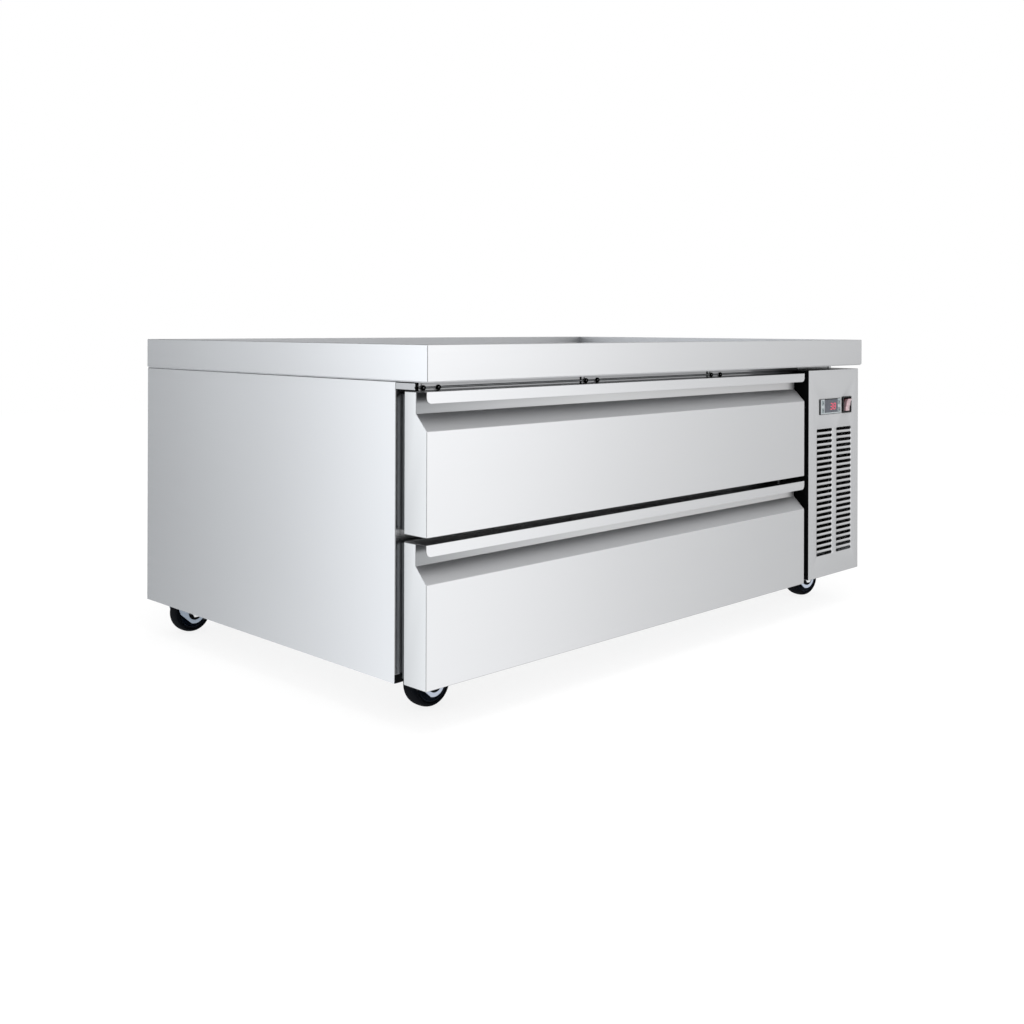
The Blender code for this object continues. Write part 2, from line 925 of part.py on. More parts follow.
def controller():
    face = drawer_face - bezel_proud
    bezel_x = machine_left + bezel_left
    bezel_top = machine_top - bezel_drop
    bezel = bmesh.new()
    low = (bezel_x, face, bezel_top - bezel_height)
    high = (bezel_x + bezel_width, drawer_face - fit, bezel_top)
    add_block(bezel, low, high)
    body = piece("controller_body", bezel, black_plastic)
    case = bmesh.new()
    add_block(case, *controller_case())
    join(body, case)
    pockets = bmesh.new()
    window_top = bezel_top - window_margin
    window_bottom = bezel_top - bezel_height + window_margin
    low = (bezel_x + window_left, face - overrun, window_bottom)
    high = (bezel_x + window_left + window_width, face + window_depth, window_top)
    add_block(pockets, low, high)
    right_column = bezel_x + window_left + window_width
    right_margin = (bezel_x + bezel_width - right_column - button_width) / 2
    left_margin = (window_left - button_width) / 2
    columns = (("left", bezel_x + left_margin), ("right", right_column + right_margin))
    for side, button_x in columns:
        for level, button_z in (
            ("upper", bezel_top - button_margin - button_height),
            ("lower", bezel_top - bezel_height + button_margin),
        ):
            low = (button_x - fit, face - overrun, button_z - fit)
            high = (button_x + button_width + fit, face + button_depth, button_z + button_height + fit)
            add_block(pockets, low, high)
            button_back = face + button_depth - button_travel - fit
            button = block(
                f"{side}_{level}_button",
                (button_x, face - button_proud, button_z),
                (button_x + button_width, button_back, button_z + button_height),
                button_plastic,
            )
            place = (button_x + button_width / 2, face, button_z + button_height / 2)
            pivot(f"{side}_{level}_button_push", place, [button])
    cut(body, pockets)


def rocker_switch():
    face = drawer_face - switch_proud
    switch_x = machine_left + switch_left
    switch_top = machine_top - switch_drop
    low = (switch_x, face, switch_top - switch_height)
    high = (switch_x + switch_width, drawer_face - fit, switch_top)
    frame = block("switch_frame", low, high, black_plastic)
    case = bmesh.new()
    add_block(case, *switch_case())
    join(frame, case)
    pocket = bmesh.new()
    low = (switch_x + switch_wall, face - overrun, switch_top - switch_height + switch_wall)
    high = (
        switch_x + switch_width - switch_wall,
        face + switch_pocket_depth,
        switch_top - switch_wall,
    )
    add_block(pocket, low, high)
    cut(frame, pocket)
    half = switch_height / 2 - switch_wall - turn_play
    half = math.sqrt(half * half - rocker_face * rocker_face)
    outline = [
        (-rocker_face, half),
        (-rocker_face + rocker_dish, 0),
        (-rocker_face, -half),
        (rocker_back, -half + rocker_taper),
        (rocker_back, half - rocker_taper),
    ]
    pivot_y = drawer_face + switch_pivot_depth
    centre = Vector((switch_x + switch_width / 2, pivot_y, switch_top - switch_height / 2))
    reach = switch_width / 2 - switch_wall - fit
    shape = bmesh.new()
    verts = add_prism(shape, outline, "X", -reach, reach)
    place = Matrix.Translation(centre) @ Matrix.Rotation(rocker_tilt, 4, "X")
    bmesh.ops.transform(shape, matrix=place, verts=verts)
    rocker = piece("rocker", shape, red_plastic)
    pivot("rocker_pivot", centre, [rocker])


# Condensing unit
def serpentine(middle, low, coil_width_here, pitch, passes, steps):
    """The middle line of a tube that runs to and fro, rising by a pitch each time."""
    radius = pitch / 2
    reach = coil_width_here / 2 - radius - coil_tube / 2
    points = []
    for number in range(passes):
        level = low + coil_tube / 2 + number * pitch
        way = 1 if number % 2 == 0 else -1
        points.append((middle - way * reach, level))
        if number == passes - 1:
            points.append((middle + way * reach, level))
        else:
            centre = (middle + way * reach, level + radius)
            bend = arc(centre, radius, -math.pi / 2, math.pi / 2, steps)
            points += [(centre[0] + way * (x - centre[0]), z) for x, z in bend[:-1]]
    return points


def coil(name, middle, low, sizes, front_y, back_y, finish):
    coil_width_here, pitch, passes = sizes
    line = serpentine(middle, low, coil_width_here, pitch, passes, bend_steps)
    one_side = offset_line(line, coil_tube / 2)
    other_side = offset_line(line, -coil_tube / 2)
    shape = bmesh.new()
    add_prism(shape, one_side + other_side[::-1], "Y", front_y, back_y)
    return piece(name, shape, finish)


def fan(name, centre, radius, hub_radius, hub_depth, bore, way):
    """Pitched blades on a hub whose bore is open to the back, or to the front where way is -1."""
    half = hub_depth / 2
    profile = [
        (0, -half),
        (hub_radius * 0.8, -half),
        (hub_radius, -half * 0.6),
        (hub_radius, half),
        (bore, half),
        (bore, -half * 0.4),
        (0, -half * 0.4),
    ]
    shape = bmesh.new()
    profile = [(around, way * place) for around, place in profile]
    add_turned(shape, profile, "Y", centre, round_steps)
    made = piece(name, shape, fan_plastic, smooth=True)
    blades = bmesh.new()
    root = hub_radius * 0.8
    root_half = radius * fan_blade_root_share / 2
    tip_half = radius * fan_blade_tip_share / 2
    outline = [(-root_half, root), (root_half, root), (tip_half, radius), (-tip_half, radius)]
    stock = fan_blade_stock / 2
    for number in range(fan_blade_count):
        verts = add_prism(blades, outline, "Y", -stock, stock)
        turn = Matrix.Rotation(number * math.tau / fan_blade_count, 4, "Y")
        pitched = Matrix.Rotation(fan_pitch, 4, "Z")
        bmesh.ops.transform(blades, matrix=Matrix.Translation(centre) @ turn @ pitched, verts=verts)
    join(made, blades)
    return made


def condensing_unit():
    coil_front = wall_front + coil_setback
    coil_back = coil_front + coil_depth
    low = base_high + fit
    sizes = (coil_width, coil_pitch, coil_passes)
    coil("condenser_coil", machine_middle, low, sizes, coil_front, coil_back, copper_tube)
    shroud_y = coil_back + fit
    shroud_back = shroud_y + shroud_stock
    fan_z = low + shroud_height / 2
    shroud = block(
        "fan_shroud",
        (machine_middle - shroud_width / 2, shroud_y, low),
        (machine_middle + shroud_width / 2, shroud_back, low + shroud_height),
        dark_sheet,
    )
    ring_radius = condenser_fan_radius + fan_tip_gap
    ring = bmesh.new()
    outer = ring_radius + shroud_stock
    profile = [
        (ring_radius, shroud_stock / 2),
        (outer, shroud_stock / 2),
        (outer, shroud_ring_depth),
        (ring_radius, shroud_ring_depth),
    ]
    add_turned(ring, profile, "Y", (machine_middle, shroud_y, fan_z), round_steps, ring=True)
    hole = bmesh.new()
    outline = arc((machine_middle, fan_z), ring_radius, 0, math.tau, round_steps)[:-1]
    add_prism(hole, outline, "Y", shroud_y - overrun, shroud_back + shroud_ring_depth + overrun)
    join(shroud, ring)
    cut(shroud, hole)
    fan_centre = (machine_middle, shroud_y + fan_setback, fan_z)
    bore = shaft_radius + turn_play
    moving = fan("condenser_fan", fan_centre, condenser_fan_radius, fan_hub_radius, fan_hub_depth, bore, 1)
    pivot("condenser_fan_spin", fan_centre, [moving])
    fan_motor(fan_centre, shroud_back + fit)
    compressor(low)


def fan_motor(fan_centre, strap_front):
    """The motor on its strap, with a shaft that carries the fan."""
    middle_x, fan_y, fan_z = fan_centre
    motor_front = strap_front + motor_setback
    profile = [
        (0, fan_y - motor_front),
        (shaft_radius, fan_y - motor_front),
        (shaft_radius, -strap_stock),
        (motor_radius * 0.5, -strap_stock),
        (motor_radius * 0.6, 0),
        (motor_radius, motor_radius * 0.15),
        (motor_radius, motor_depth * 0.85),
        (motor_radius * 0.75, motor_depth),
        (0, motor_depth),
    ]
    shape = bmesh.new()
    add_turned(shape, profile, "Y", (middle_x, motor_front, fan_z), round_steps)
    motor = piece("fan_motor", shape, black_enamel, smooth=True)
    reach = shroud_height / 2 - strap_edge_gap
    strap_outline = [
        (strap_front, -reach),
        (motor_front + strap_stock, -reach),
        (motor_front + strap_stock, reach),
        (strap_front, reach),
        (strap_front, reach - strap_stock),
        (motor_front, reach - strap_stock),
        (motor_front, -reach + strap_stock),
        (strap_front, -reach + strap_stock),
    ]
    outline = [(y, fan_z + z) for y, z in strap_outline]
    strap = bmesh.new()
    add_prism(strap, outline, "X", middle_x - strap_width / 2, middle_x + strap_width / 2)
    join(motor, strap)


def compressor(low):
    middle = (machine_middle, wall_front + compressor_setback, low)
    shell = bmesh.new()
    outline = [(r * compressor_radius, z * compressor_height) for r, z in shell_outline_shares]
    add_turned(shell, outline, "Z", middle, round_steps)
    made = piece("compressor", shell, black_enamel, smooth=True)
    foot = compressor_foot / 2
    foot_low = low + compressor_grommet_height
    plate = bmesh.new()
    add_block(
        plate,
        (middle[0] - foot, middle[1] - foot, foot_low),
        (middle[0] + foot, middle[1] + foot, foot_low + compressor_foot_stock),
    )
    join(made, plate)
    grommets = bmesh.new()
    inset = foot - compressor_grommet_radius
    for side_x in (-1, 1):
        for side_y in (-1, 1):
            radius = compressor_grommet_radius
            top = compressor_grommet_height + compressor_foot_stock * 2
            shoulder = compressor_grommet_height
            profile = [(0, top), (radius * 0.6, top), (radius, shoulder), (radius, 0), (0, 0)]
            place = (middle[0] + side_x * inset, middle[1] + side_y * inset, low)
            add_turned(grommets, profile, "Z", place, small_round_steps)
    join(made, grommets)
    fittings = bmesh.new()
    level = low + compressor_height * 0.40
    half = compressor_box_width / 2
    relay_back = middle[1] + compressor_radius
    add_block(
        fittings,
        (middle[0] - half, relay_back - compressor_box_depth, level - half),
        (middle[0] + half, relay_back + compressor_box_depth / 2, level + half),
    )
    join(made, fittings)
    stubs = bmesh.new()
    for side in (-1, 1):
        x = middle[0] + side * compressor_radius * 0.5
        near = middle[1] - compressor_radius * 0.8 - compressor_stub_length
        profile = [
            (0, 0),
            (compressor_stub_radius, 0),
            (compressor_stub_radius, compressor_stub_length * 2),
            (0, compressor_stub_length * 2),
        ]
        add_turned(stubs, profile, "Y", (x, near, level), small_round_steps)
    join(made, stubs)


# Evaporator
def evaporator():
    high_x = opening_right - evaporator_inset
    low_x = high_x - evaporator_width
    middle_x = (low_x + high_x) / 2
    high_z = cabinet_top - evaporator_drop
    low_z = high_z - evaporator_height
    middle_z = (low_z + high_z) / 2
    back = back_wall_front - fit
    cover_front = back - evaporator_depth
    cover = open_shell(
        "evaporator_cover",
        (low_x, cover_front, low_z),
        (high_x, back, high_z),
        "Y",
        True,
        liner_steel,
    )
    opening = bmesh.new()
    radius = evaporator_fan_radius + evaporator_opening_gap
    outline = arc((middle_x, middle_z), radius, 0, math.tau, round_steps)[:-1]
    add_prism(opening, outline, "Y", cover_front - overrun, cover_front + sheet + overrun)
    cut(cover, opening)
    arm = bmesh.new()
    reach = radius + evaporator_arm_width
    add_block(
        arm,
        (middle_x - reach, cover_front - sheet, middle_z - evaporator_arm_width / 2),
        (middle_x + reach, cover_front + sheet / 2, middle_z + evaporator_arm_width / 2),
    )
    join(cover, arm)
    motor = bmesh.new()
    shaft_end = evaporator_motor_depth + evaporator_hub_depth * 0.6
    profile = [
        (0, -sheet / 2),
        (evaporator_motor_radius, -sheet / 2),
        (evaporator_motor_radius, evaporator_motor_depth),
        (shaft_radius, evaporator_motor_depth),
        (shaft_radius, shaft_end),
        (0, shaft_end),
    ]
    add_turned(motor, profile, "Y", (middle_x, cover_front, middle_z), round_steps)
    join(cover, motor)
    fan_y = cover_front + evaporator_motor_depth + evaporator_hub_depth / 2 + slide_play
    centre = (middle_x, fan_y, middle_z)
    bore = shaft_radius + turn_play
    blades = fan(
        "evaporator_fan",
        centre,
        evaporator_fan_radius,
        evaporator_hub_radius,
        evaporator_hub_depth,
        bore,
        -1,
    )
    pivot("evaporator_fan_spin", centre, [blades])
    coil_low = low_z + sheet + fit
    sizes = (evaporator_width - 2 * sheet - 4 * slide_play, evaporator_coil_pitch, evaporator_coil_passes)
    coil_back = back - slide_play
    coil_front = coil_back - evaporator_coil_depth
    coil("evaporator_coil", middle_x, coil_low, sizes, coil_front, coil_back, copper_tube)


# Cable gland in the back panel
def cable_gland():
    flange = gland_overhang - fit
    nut_near = -sheet - fit
    profile = [
        (gland_bore_radius, gland_overhang),
        (gland_flange_radius * 0.8, gland_overhang),
        (gland_flange_radius, gland_overhang - flange * 0.4),
        (gland_flange_radius, fit),
        (gland_barrel_radius, fit),
        (gland_barrel_radius, nut_near),
        (gland_flange_radius, nut_near),
        (gland_flange_radius, nut_near - gland_inner_length / 2),
        (gland_barrel_radius, nut_near - gland_inner_length / 2),
        (gland_barrel_radius, nut_near - gland_inner_length),
        (gland_bore_radius, nut_near - gland_inner_length),
    ]
    shape = bmesh.new()
    add_turned(shape, profile, "Y", (machine_middle, rear, gland_rise), small_round_steps, ring=True)
    piece("cable_gland", shape, black_plastic, smooth=True)


# Casters
def caster(name, swivel_x, swivel_y, way, turn=0):
    """A swivel caster whose wheel trails along X, or -X where way is -1, and is then turned."""
    caster_top_plate(name, swivel_x, swivel_y)
    swivel = Vector((swivel_x, swivel_y, caster_height))
    swing = Matrix.Translation(swivel) @ Matrix.Rotation(turn, 4, "Z") @ Matrix.Translation(-swivel)
    axle = Vector((swivel_x + way * caster_trail, swivel_y, wheel_radius))
    fork = caster_fork(name, swivel_x, axle, way, swing)
    wheel = caster_wheel(name, axle, swing)
    pivot(f"{name}_caster_spin", swing @ axle, [wheel])
    pivot(f"{name}_caster_swivel", swivel, [fork])


def caster_top_plate(name, x, y):
    half = caster_plate / 2
    plate = bmesh.new()
    low = (x - half, y - half, caster_height - caster_plate_stock)
    high = (x + half, y + half, caster_height)
    add_block(plate, low, high)
    upright = [edge for edge in plate.edges if abs(edge.verts[0].co.z - edge.verts[1].co.z) > fit]
    bmesh.ops.bevel(
        plate,
        geom=upright,
        offset=caster_plate_round,
        offset_type="OFFSET",
        segments=3,
        profile=0.5,
        affect="EDGES",
        material=-1,
    )
    made = piece(f"{name}_caster_plate", plate, zinc)
    race_low = -caster_plate_stock - race_height
    crown_low = race_low - fork_stock - 2 * fit
    profile = [
        (0, -caster_plate_stock / 2),
        (race_radius, -caster_plate_stock / 2),
        (race_radius * 0.9, race_low),
        (kingpin_radius, race_low),
        (kingpin_radius, crown_low),
        (kingpin_head_radius, crown_low),
        (kingpin_head_radius * 0.8, crown_low - kingpin_head_height),
        (0, crown_low - kingpin_head_height),
    ]
    pin = bmesh.new()
    add_turned(pin, profile, "Z", (x, y, caster_height), small_round_steps)
    join(made, pin)


def caster_fork(name, swivel_x, axle, way, swing):
    axle_x, y, axle_z = axle
    crown_high = caster_height - caster_plate_stock - race_height - fit
    crown_low = crown_high - fork_stock
    inner = wheel_width / 2 + fork_gap
    outer = inner + fork_stock
    bore = kingpin_radius + turn_play
    crown = bmesh.new()
    profile = [(bore, crown_low), (crown_radius, crown_low), (crown_radius, crown_high), (bore, crown_high)]
    add_turned(crown, profile, "Z", (swivel_x, y, 0), round_steps, ring=True)
    made = piece(f"{name}_caster_fork", crown, zinc)
    legs = bmesh.new()
    outline = [(axle_x + way * x * wheel_radius, axle_z + z * wheel_radius) for x, z in leg_outline_shares]
    shoulder_low = (crown_low + crown_high) / 2
    reach = math.sqrt(crown_radius**2 - outer**2)
    outline.append((swivel_x + way * reach, shoulder_low))
    outline.append((swivel_x - way * reach, shoulder_low))
    for side in (-1, 1):
        add_prism(legs, outline, "Y", y + side * inner, y + side * outer)
    legs.transform(swing)
    join(made, legs)
    nut = outer + axle_nut_height
    profile = [
        (0, -nut),
        (axle_nut_radius, -nut),
        (axle_nut_radius, -outer + fork_stock / 2),
        (axle_radius, -outer + fork_stock / 2),
        (axle_radius, outer - fork_stock / 2),
        (axle_nut_radius, outer - fork_stock / 2),
        (axle_nut_radius, nut),
        (0, nut),
    ]
    bolt = bmesh.new()
    add_turned(bolt, profile, "Y", axle, small_round_steps)
    bolt.transform(swing)
    join(made, bolt)
    return made


def caster_wheel(name, axle, swing):
    half = wheel_width / 2
    hub = half + wheel_hub_extra
    rim = wheel_radius - wheel_rim_depth
    half_profile = [
        (wheel_bore, hub),
        (wheel_hub_radius, hub),
        (wheel_hub_radius, half - wheel_dish),
        (rim, half - wheel_dish),
        (rim, half),
        (wheel_radius - tread_round / 2, half),
        (wheel_radius, half - tread_round),
    ]
    profile = half_profile + [(radius, -place) for radius, place in half_profile[::-1]]
    shape = bmesh.new()
    add_turned(shape, profile, "Y", axle, round_steps, ring=True)
    shape.transform(swing)
    return piece(f"{name}_caster_wheel", shape, caster_rubber, smooth=True)


def casters():
    front_y = front + caster_front_setback
    rear_y = rear - caster_rear_setback
    caster("front_left", left + caster_left_inset, front_y, 1)
    caster("front_right", right - caster_right_inset, front_y, 1, caster_right_turn)
    caster("rear_left", left + caster_rear_inset, rear_y, 1)
    caster("rear_right", right - caster_rear_inset, rear_y, -1)


worktop()
side_panels()
back_panel()
base_panel()
walls()
front_frame()
top_rail()
drawers()
machine_panel()
controller()
rocker_switch()
condensing_unit()
evaporator()
cable_gland()
casters()
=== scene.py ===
# %% [markdown]
# # A refrigerated chef base, dressed around its frame
# A chef base is a low refrigerator that carries a griddle or a range. It is folded from thin
# stainless sheet, so almost all that the eye sees is flat metal, narrow bends and dark gaps.
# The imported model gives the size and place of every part. This file adds the bends, the small
# hardware and the finishes, and moves nothing.

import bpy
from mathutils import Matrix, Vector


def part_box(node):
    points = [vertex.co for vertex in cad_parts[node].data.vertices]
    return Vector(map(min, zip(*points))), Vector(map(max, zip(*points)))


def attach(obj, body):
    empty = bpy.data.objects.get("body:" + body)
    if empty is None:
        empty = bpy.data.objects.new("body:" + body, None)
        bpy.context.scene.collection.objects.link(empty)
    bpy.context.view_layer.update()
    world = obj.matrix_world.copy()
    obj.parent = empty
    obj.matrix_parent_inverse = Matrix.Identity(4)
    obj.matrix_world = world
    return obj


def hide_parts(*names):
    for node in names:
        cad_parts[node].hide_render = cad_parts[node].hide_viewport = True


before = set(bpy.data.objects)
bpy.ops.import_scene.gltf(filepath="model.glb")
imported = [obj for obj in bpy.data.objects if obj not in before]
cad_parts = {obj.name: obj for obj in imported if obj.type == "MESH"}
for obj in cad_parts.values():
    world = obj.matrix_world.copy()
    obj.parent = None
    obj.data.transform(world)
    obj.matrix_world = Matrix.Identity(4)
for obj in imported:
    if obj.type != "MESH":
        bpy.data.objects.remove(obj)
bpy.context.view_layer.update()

# %% Blender's modules
import math

import bmesh
import bpy
from mathutils import Matrix, Vector

print("Blender", bpy.app.version_string)

# %% [markdown]
# ## The camera
# The view is a three-quarter one from the front left, a little above the top. The camera is level
# and its picture is shifted down, as a product photographer does to keep the upright edges upright.
# The worktop's corners fixed its place and its lens.

# %% Place the camera
camera_place = Vector((-1.69296, -1.65276, 0.58223))
camera_yaw = math.radians(45.045)
camera_roll = math.radians(0.186)
lens_mm = 41.04
picture_shift = (0.0, -0.1812)

camera_data = bpy.data.cameras.new("camera")
camera_data.lens = lens_mm
camera_data.shift_x, camera_data.shift_y = picture_shift
camera = bpy.data.objects.new("camera", camera_data)
level = Matrix.Rotation(camera_yaw - math.pi / 2, 4, "Z") @ Matrix.Rotation(math.pi / 2, 4, "X")
turned_level = level @ Matrix.Rotation(camera_roll, 4, "Z")
camera.matrix_world = Matrix.Translation(camera_place) @ turned_level
bpy.context.scene.collection.objects.link(camera)
bpy.context.scene.camera = camera
print("camera stands", round(camera_place.length, 2), "m from the floor's middle")

# %% [markdown]
# ## One way to add a node
# Every finish below is a small graph of nodes. One function adds any node, so that a graph reads
# as a list of what it holds. Colours are written as the hex values of a colour picker, and a
# second function turns them into the linear values that the shader works with.

# %% Node and colour helpers
def add_node(tree, kind, settings, links=()):
    """Adds a node, sets its properties and sockets, and links other nodes' outputs into it."""
    node = tree.nodes.new(kind)
    for name, value in settings.items():
        if isinstance(name, str) and hasattr(node, name):
            setattr(node, name, value)
        else:
            node.inputs[name].default_value = value
    for name, output in dict(links).items():
        tree.links.new(output, node.inputs[name])
    return node


def linear(hex_colour):
    """An sRGB hex colour as linear red, green, blue and alpha."""
    shares = [int(hex_colour[place : place + 2], 16) / 255 for place in (1, 3, 5)]
    return [s / 12.92 if s <= 0.04045 else ((s + 0.055) / 1.055) ** 2.4 for s in shares] + [1.0]


print("a mid grey of #808080 is", round(linear("#808080")[0], 3), "in linear light")

# %% [markdown]
# ## The room and its light
# Polished and brushed metal has hardly any colour of its own: it shows the room. A studio for
# steel is therefore a bright tent that falls off to grey away from the camera, and that fall is
# what makes a flat panel run from white to grey. The world here is such a tent, with a cooler
# left half and a plainer right half. Its brightness is read from how far a direction points
# ahead of the camera, from -1 straight back to 1 straight on, and blended between a few stops.
# The same kind of ramp serves some finishes later, so it is a helper.

# %% A ramp between stops
def blend_along(tree, source, start, end, stops, smooth=False):
    """Blends between colours at given places of a value that runs from start to end."""
    share = add_node(tree, "ShaderNodeMapRange", {1: start, 2: end}, {0: source})
    ramp = add_node(tree, "ShaderNodeValToRGB", {}, {0: share.outputs[0]})
    ramp.color_ramp.interpolation = "EASE" if smooth else "LINEAR"
    for _ in range(len(stops) - 2):
        ramp.color_ramp.elements.new(0.5)
    for element, (place, colour) in zip(ramp.color_ramp.elements, stops):
        element.position = (place - start) / (end - start)
        element.color = colour
    return ramp.outputs[0]


def grey(brightness):
    return (brightness, brightness, brightness, 1)


tent_left = (
    (-0.85, 0.50),
    (-0.40, 0.85),
    (-0.16, 1.70),
    (0.03, 1.96),
    (0.12, 1.06),
    (0.22, 0.70),
    (0.34, 0.30),
)
tent_right = (
    (-0.85, 0.50),
    (-0.42, 0.80),
    (-0.20, 1.45),
    (-0.02, 1.42),
    (0.09, 0.91),
    (0.20, 0.74),
    (0.40, 0.52),
)
print("the tent's left half runs from", max(b for _, b in tent_left), "down to", tent_left[-1][1])

# %% [markdown]
# The two halves meet softly in the middle. Each is one ramp, and the left one is then tinted.

# %% The two halves of the tent
view_ahead = Vector((math.cos(camera_yaw), math.sin(camera_yaw), 0))
view_right = Vector((math.sin(camera_yaw), -math.cos(camera_yaw), 0))
tent_left_tint = (0.96, 0.98, 1.0, 1.0)
halves_meet = 0.3

world = bpy.data.worlds.new("light_tent")
bpy.context.scene.world = world
world.use_nodes = True
sky = world.node_tree
sky.nodes.clear()
way = add_node(sky, "ShaderNodeTexCoord", {})


def towards(axis):
    """How far each direction points along an axis."""
    product = {"operation": "DOT_PRODUCT", 1: axis}
    dot = add_node(sky, "ShaderNodeVectorMath", product, {0: way.outputs["Generated"]})
    return dot.outputs["Value"]


def tent_half(stops):
    return blend_along(sky, towards(view_ahead), -1, 1, [(p, grey(b)) for p, b in stops], True)


left_half = add_node(
    sky,
    "ShaderNodeMix",
    {"data_type": "RGBA", "blend_type": "MULTIPLY", 0: 1.0, 7: tent_left_tint},
    {6: tent_half(tent_left)},
)
half = add_node(
    sky, "ShaderNodeMapRange", {1: -halves_meet, 2: halves_meet}, {0: towards(view_right)}
)
tent_for_metal = add_node(
    sky,
    "ShaderNodeMix",
    {"data_type": "RGBA"},
    {0: half.outputs[0], 6: left_half.outputs[2], 7: tent_half(tent_right)},
)
print("the two halves take", len(sky.nodes), "nodes")

# %% [markdown]
# The tent dims a little towards the ground, and only reflections see it. Dull surfaces are lit by
# one even grey, which keeps their colours as they are written, and the camera itself sees plain
# white, as on a product photo.

# %% What each kind of ray sees
tent_ambient = 0.80
tent_low, tent_high = 0.90, 1.03
tent_dims_below = -0.20

seen = add_node(sky, "ShaderNodeLightPath", {})
falling = add_node(
    sky,
    "ShaderNodeMapRange",
    {1: tent_dims_below, 2: 0.0, 3: tent_low, 4: tent_high},
    {0: towards((0, 0, 1))},
)
graded = add_node(
    sky,
    "ShaderNodeVectorMath",
    {"operation": "SCALE"},
    {"Vector": tent_for_metal.outputs[2], "Scale": falling.outputs[0]},
)
for_all = add_node(
    sky,
    "ShaderNodeMix",
    {"data_type": "RGBA", 6: grey(tent_ambient)},
    {0: seen.outputs["Is Glossy Ray"], 7: graded.outputs[0]},
)
for_camera = add_node(
    sky,
    "ShaderNodeMix",
    {"data_type": "RGBA", 7: grey(1)},
    {0: seen.outputs["Is Camera Ray"], 6: for_all.outputs[2]},
)
tent = add_node(sky, "ShaderNodeBackground", {}, {"Color": for_camera.outputs[2]})
add_node(sky, "ShaderNodeOutputWorld", {}, {"Surface": tent.outputs["Background"]})
print("the tent has", len(sky.nodes), "nodes")

# %% [markdown]
# ## Lamps
# Two large square lamps add the soft shadow under the base and give the plastics a direction.
# They are hidden from reflections, where they would show as bright squares in the steel.

# %% Softboxes
def add_softbox(name, place, target, size, power):
    """A square lamp that faces a point."""
    data = bpy.data.lights.new(name, "AREA")
    data.size = size
    data.energy = power
    lamp = bpy.data.objects.new(name, data)
    lamp.location = place
    lamp.visible_glossy = False
    facing = Vector(target) - Vector(place)
    lamp.rotation_euler = facing.to_track_quat("-Z", "Y").to_euler()
    bpy.context.scene.collection.objects.link(lamp)
    print(f"{name}: {size} m, {power} W")


add_softbox("overhead_softbox", (-0.3, -0.6, 2.6), (0, 0, 0.3), 1.8, 26)
add_softbox("front_left_softbox", (-2.4, -2.6, 1.6), (0, 0, 0.3), 1.4, 18)
bpy.context.scene.view_settings.view_transform = "Standard"

# %% [markdown]
# ## The floor
# The floor is plain white and keeps a soft shadow. To the camera most of it glows, so that it
# meets the white backdrop without a line, and the rest is white paint that the lamps shade.
# Reflections look straight through it, as if the tent went on below.

# %% Studio floor
floor_reach = 6.0
floor_glow = 1.08
floor_glow_share = 0.78

floor_shape = bmesh.new()
bmesh.ops.create_grid(floor_shape, x_segments=1, y_segments=1, size=floor_reach)
floor_mesh = bpy.data.meshes.new("floor")
floor_shape.to_mesh(floor_mesh)
floor_shape.free()
floor = bpy.data.objects.new("floor", floor_mesh)
bpy.context.scene.collection.objects.link(floor)

floor_material = bpy.data.materials.new("white_studio_floor")
floor_material.use_nodes = True
tree = floor_material.node_tree
tree.nodes.clear()
paint = add_node(tree, "ShaderNodeBsdfDiffuse", {"Color": linear("#F4F4F4")})
glow = add_node(tree, "ShaderNodeEmission", {"Strength": floor_glow})
clear = add_node(tree, "ShaderNodeBsdfTransparent", {})
seen = add_node(tree, "ShaderNodeLightPath", {})
glowing = add_node(
    tree,
    "ShaderNodeMath",
    {"operation": "MULTIPLY", 1: floor_glow_share},
    {0: seen.outputs["Is Camera Ray"]},
)
painted = {0: glowing.outputs[0], 1: paint.outputs[0], 2: glow.outputs[0]}
for_camera = add_node(tree, "ShaderNodeMixShader", {}, painted)
see_through = {0: seen.outputs["Is Glossy Ray"], 1: for_camera.outputs[0], 2: clear.outputs[0]}
surface = add_node(tree, "ShaderNodeMixShader", {}, see_through)
add_node(tree, "ShaderNodeOutputMaterial", {}, {"Surface": surface.outputs[0]})
floor_mesh.materials.append(floor_material)
print("the floor measures", 2 * floor_reach, "m")

# %% [markdown]
# ## Finishes
# Each finish starts from what the real one is and how its surface was made. All of them share one
# start, a Principled shader, which takes a colour, a roughness, and whether it is metal.

# %% Start a finish
def start_finish(name, colour, roughness, metallic=0.0, settings=()):
    """A material with a Principled shader: the material, its tree and its shader."""
    material = bpy.data.materials.new(name)
    material.use_nodes = True
    tree = material.node_tree
    shader = tree.nodes["Principled BSDF"]
    shader.inputs["Base Color"].default_value = linear(colour)
    shader.inputs["Roughness"].default_value = roughness
    shader.inputs["Metallic"].default_value = metallic
    for socket, value in dict(settings).items():
        shader.inputs[socket].default_value = value
    return material, tree, shader


print("materials before the first finish:", len(bpy.data.materials))

# %% [markdown]
# No surface is the same all over, so a noise varies each one a little. It is stretched to a real
# size in millimetres and read from the object's own coordinates, so that a pattern stays on its
# piece when a drawer opens. The one noise can vary the roughness, blend two colours, and raise
# the surface, and these belong together: a deeper spot is often also a duller and darker one.

# %% Vary a finish
noise_low, noise_high = 0.3, 0.7


def grain(tree, sizes_mm, detail=2.0):
    """Noise whose spots measure the three sizes, in millimetres, along X, Y and Z."""
    place = add_node(tree, "ShaderNodeTexCoord", {})
    scale = [1000 / size for size in sizes_mm]
    objects_own = {"Vector": place.outputs["Object"]}
    stretched = add_node(tree, "ShaderNodeMapping", {"Scale": scale}, objects_own)
    settings = {"Scale": 1.0, "Detail": detail}
    noise = add_node(tree, "ShaderNodeTexNoise", settings, {"Vector": stretched.outputs[0]})
    return noise.outputs["Fac"]


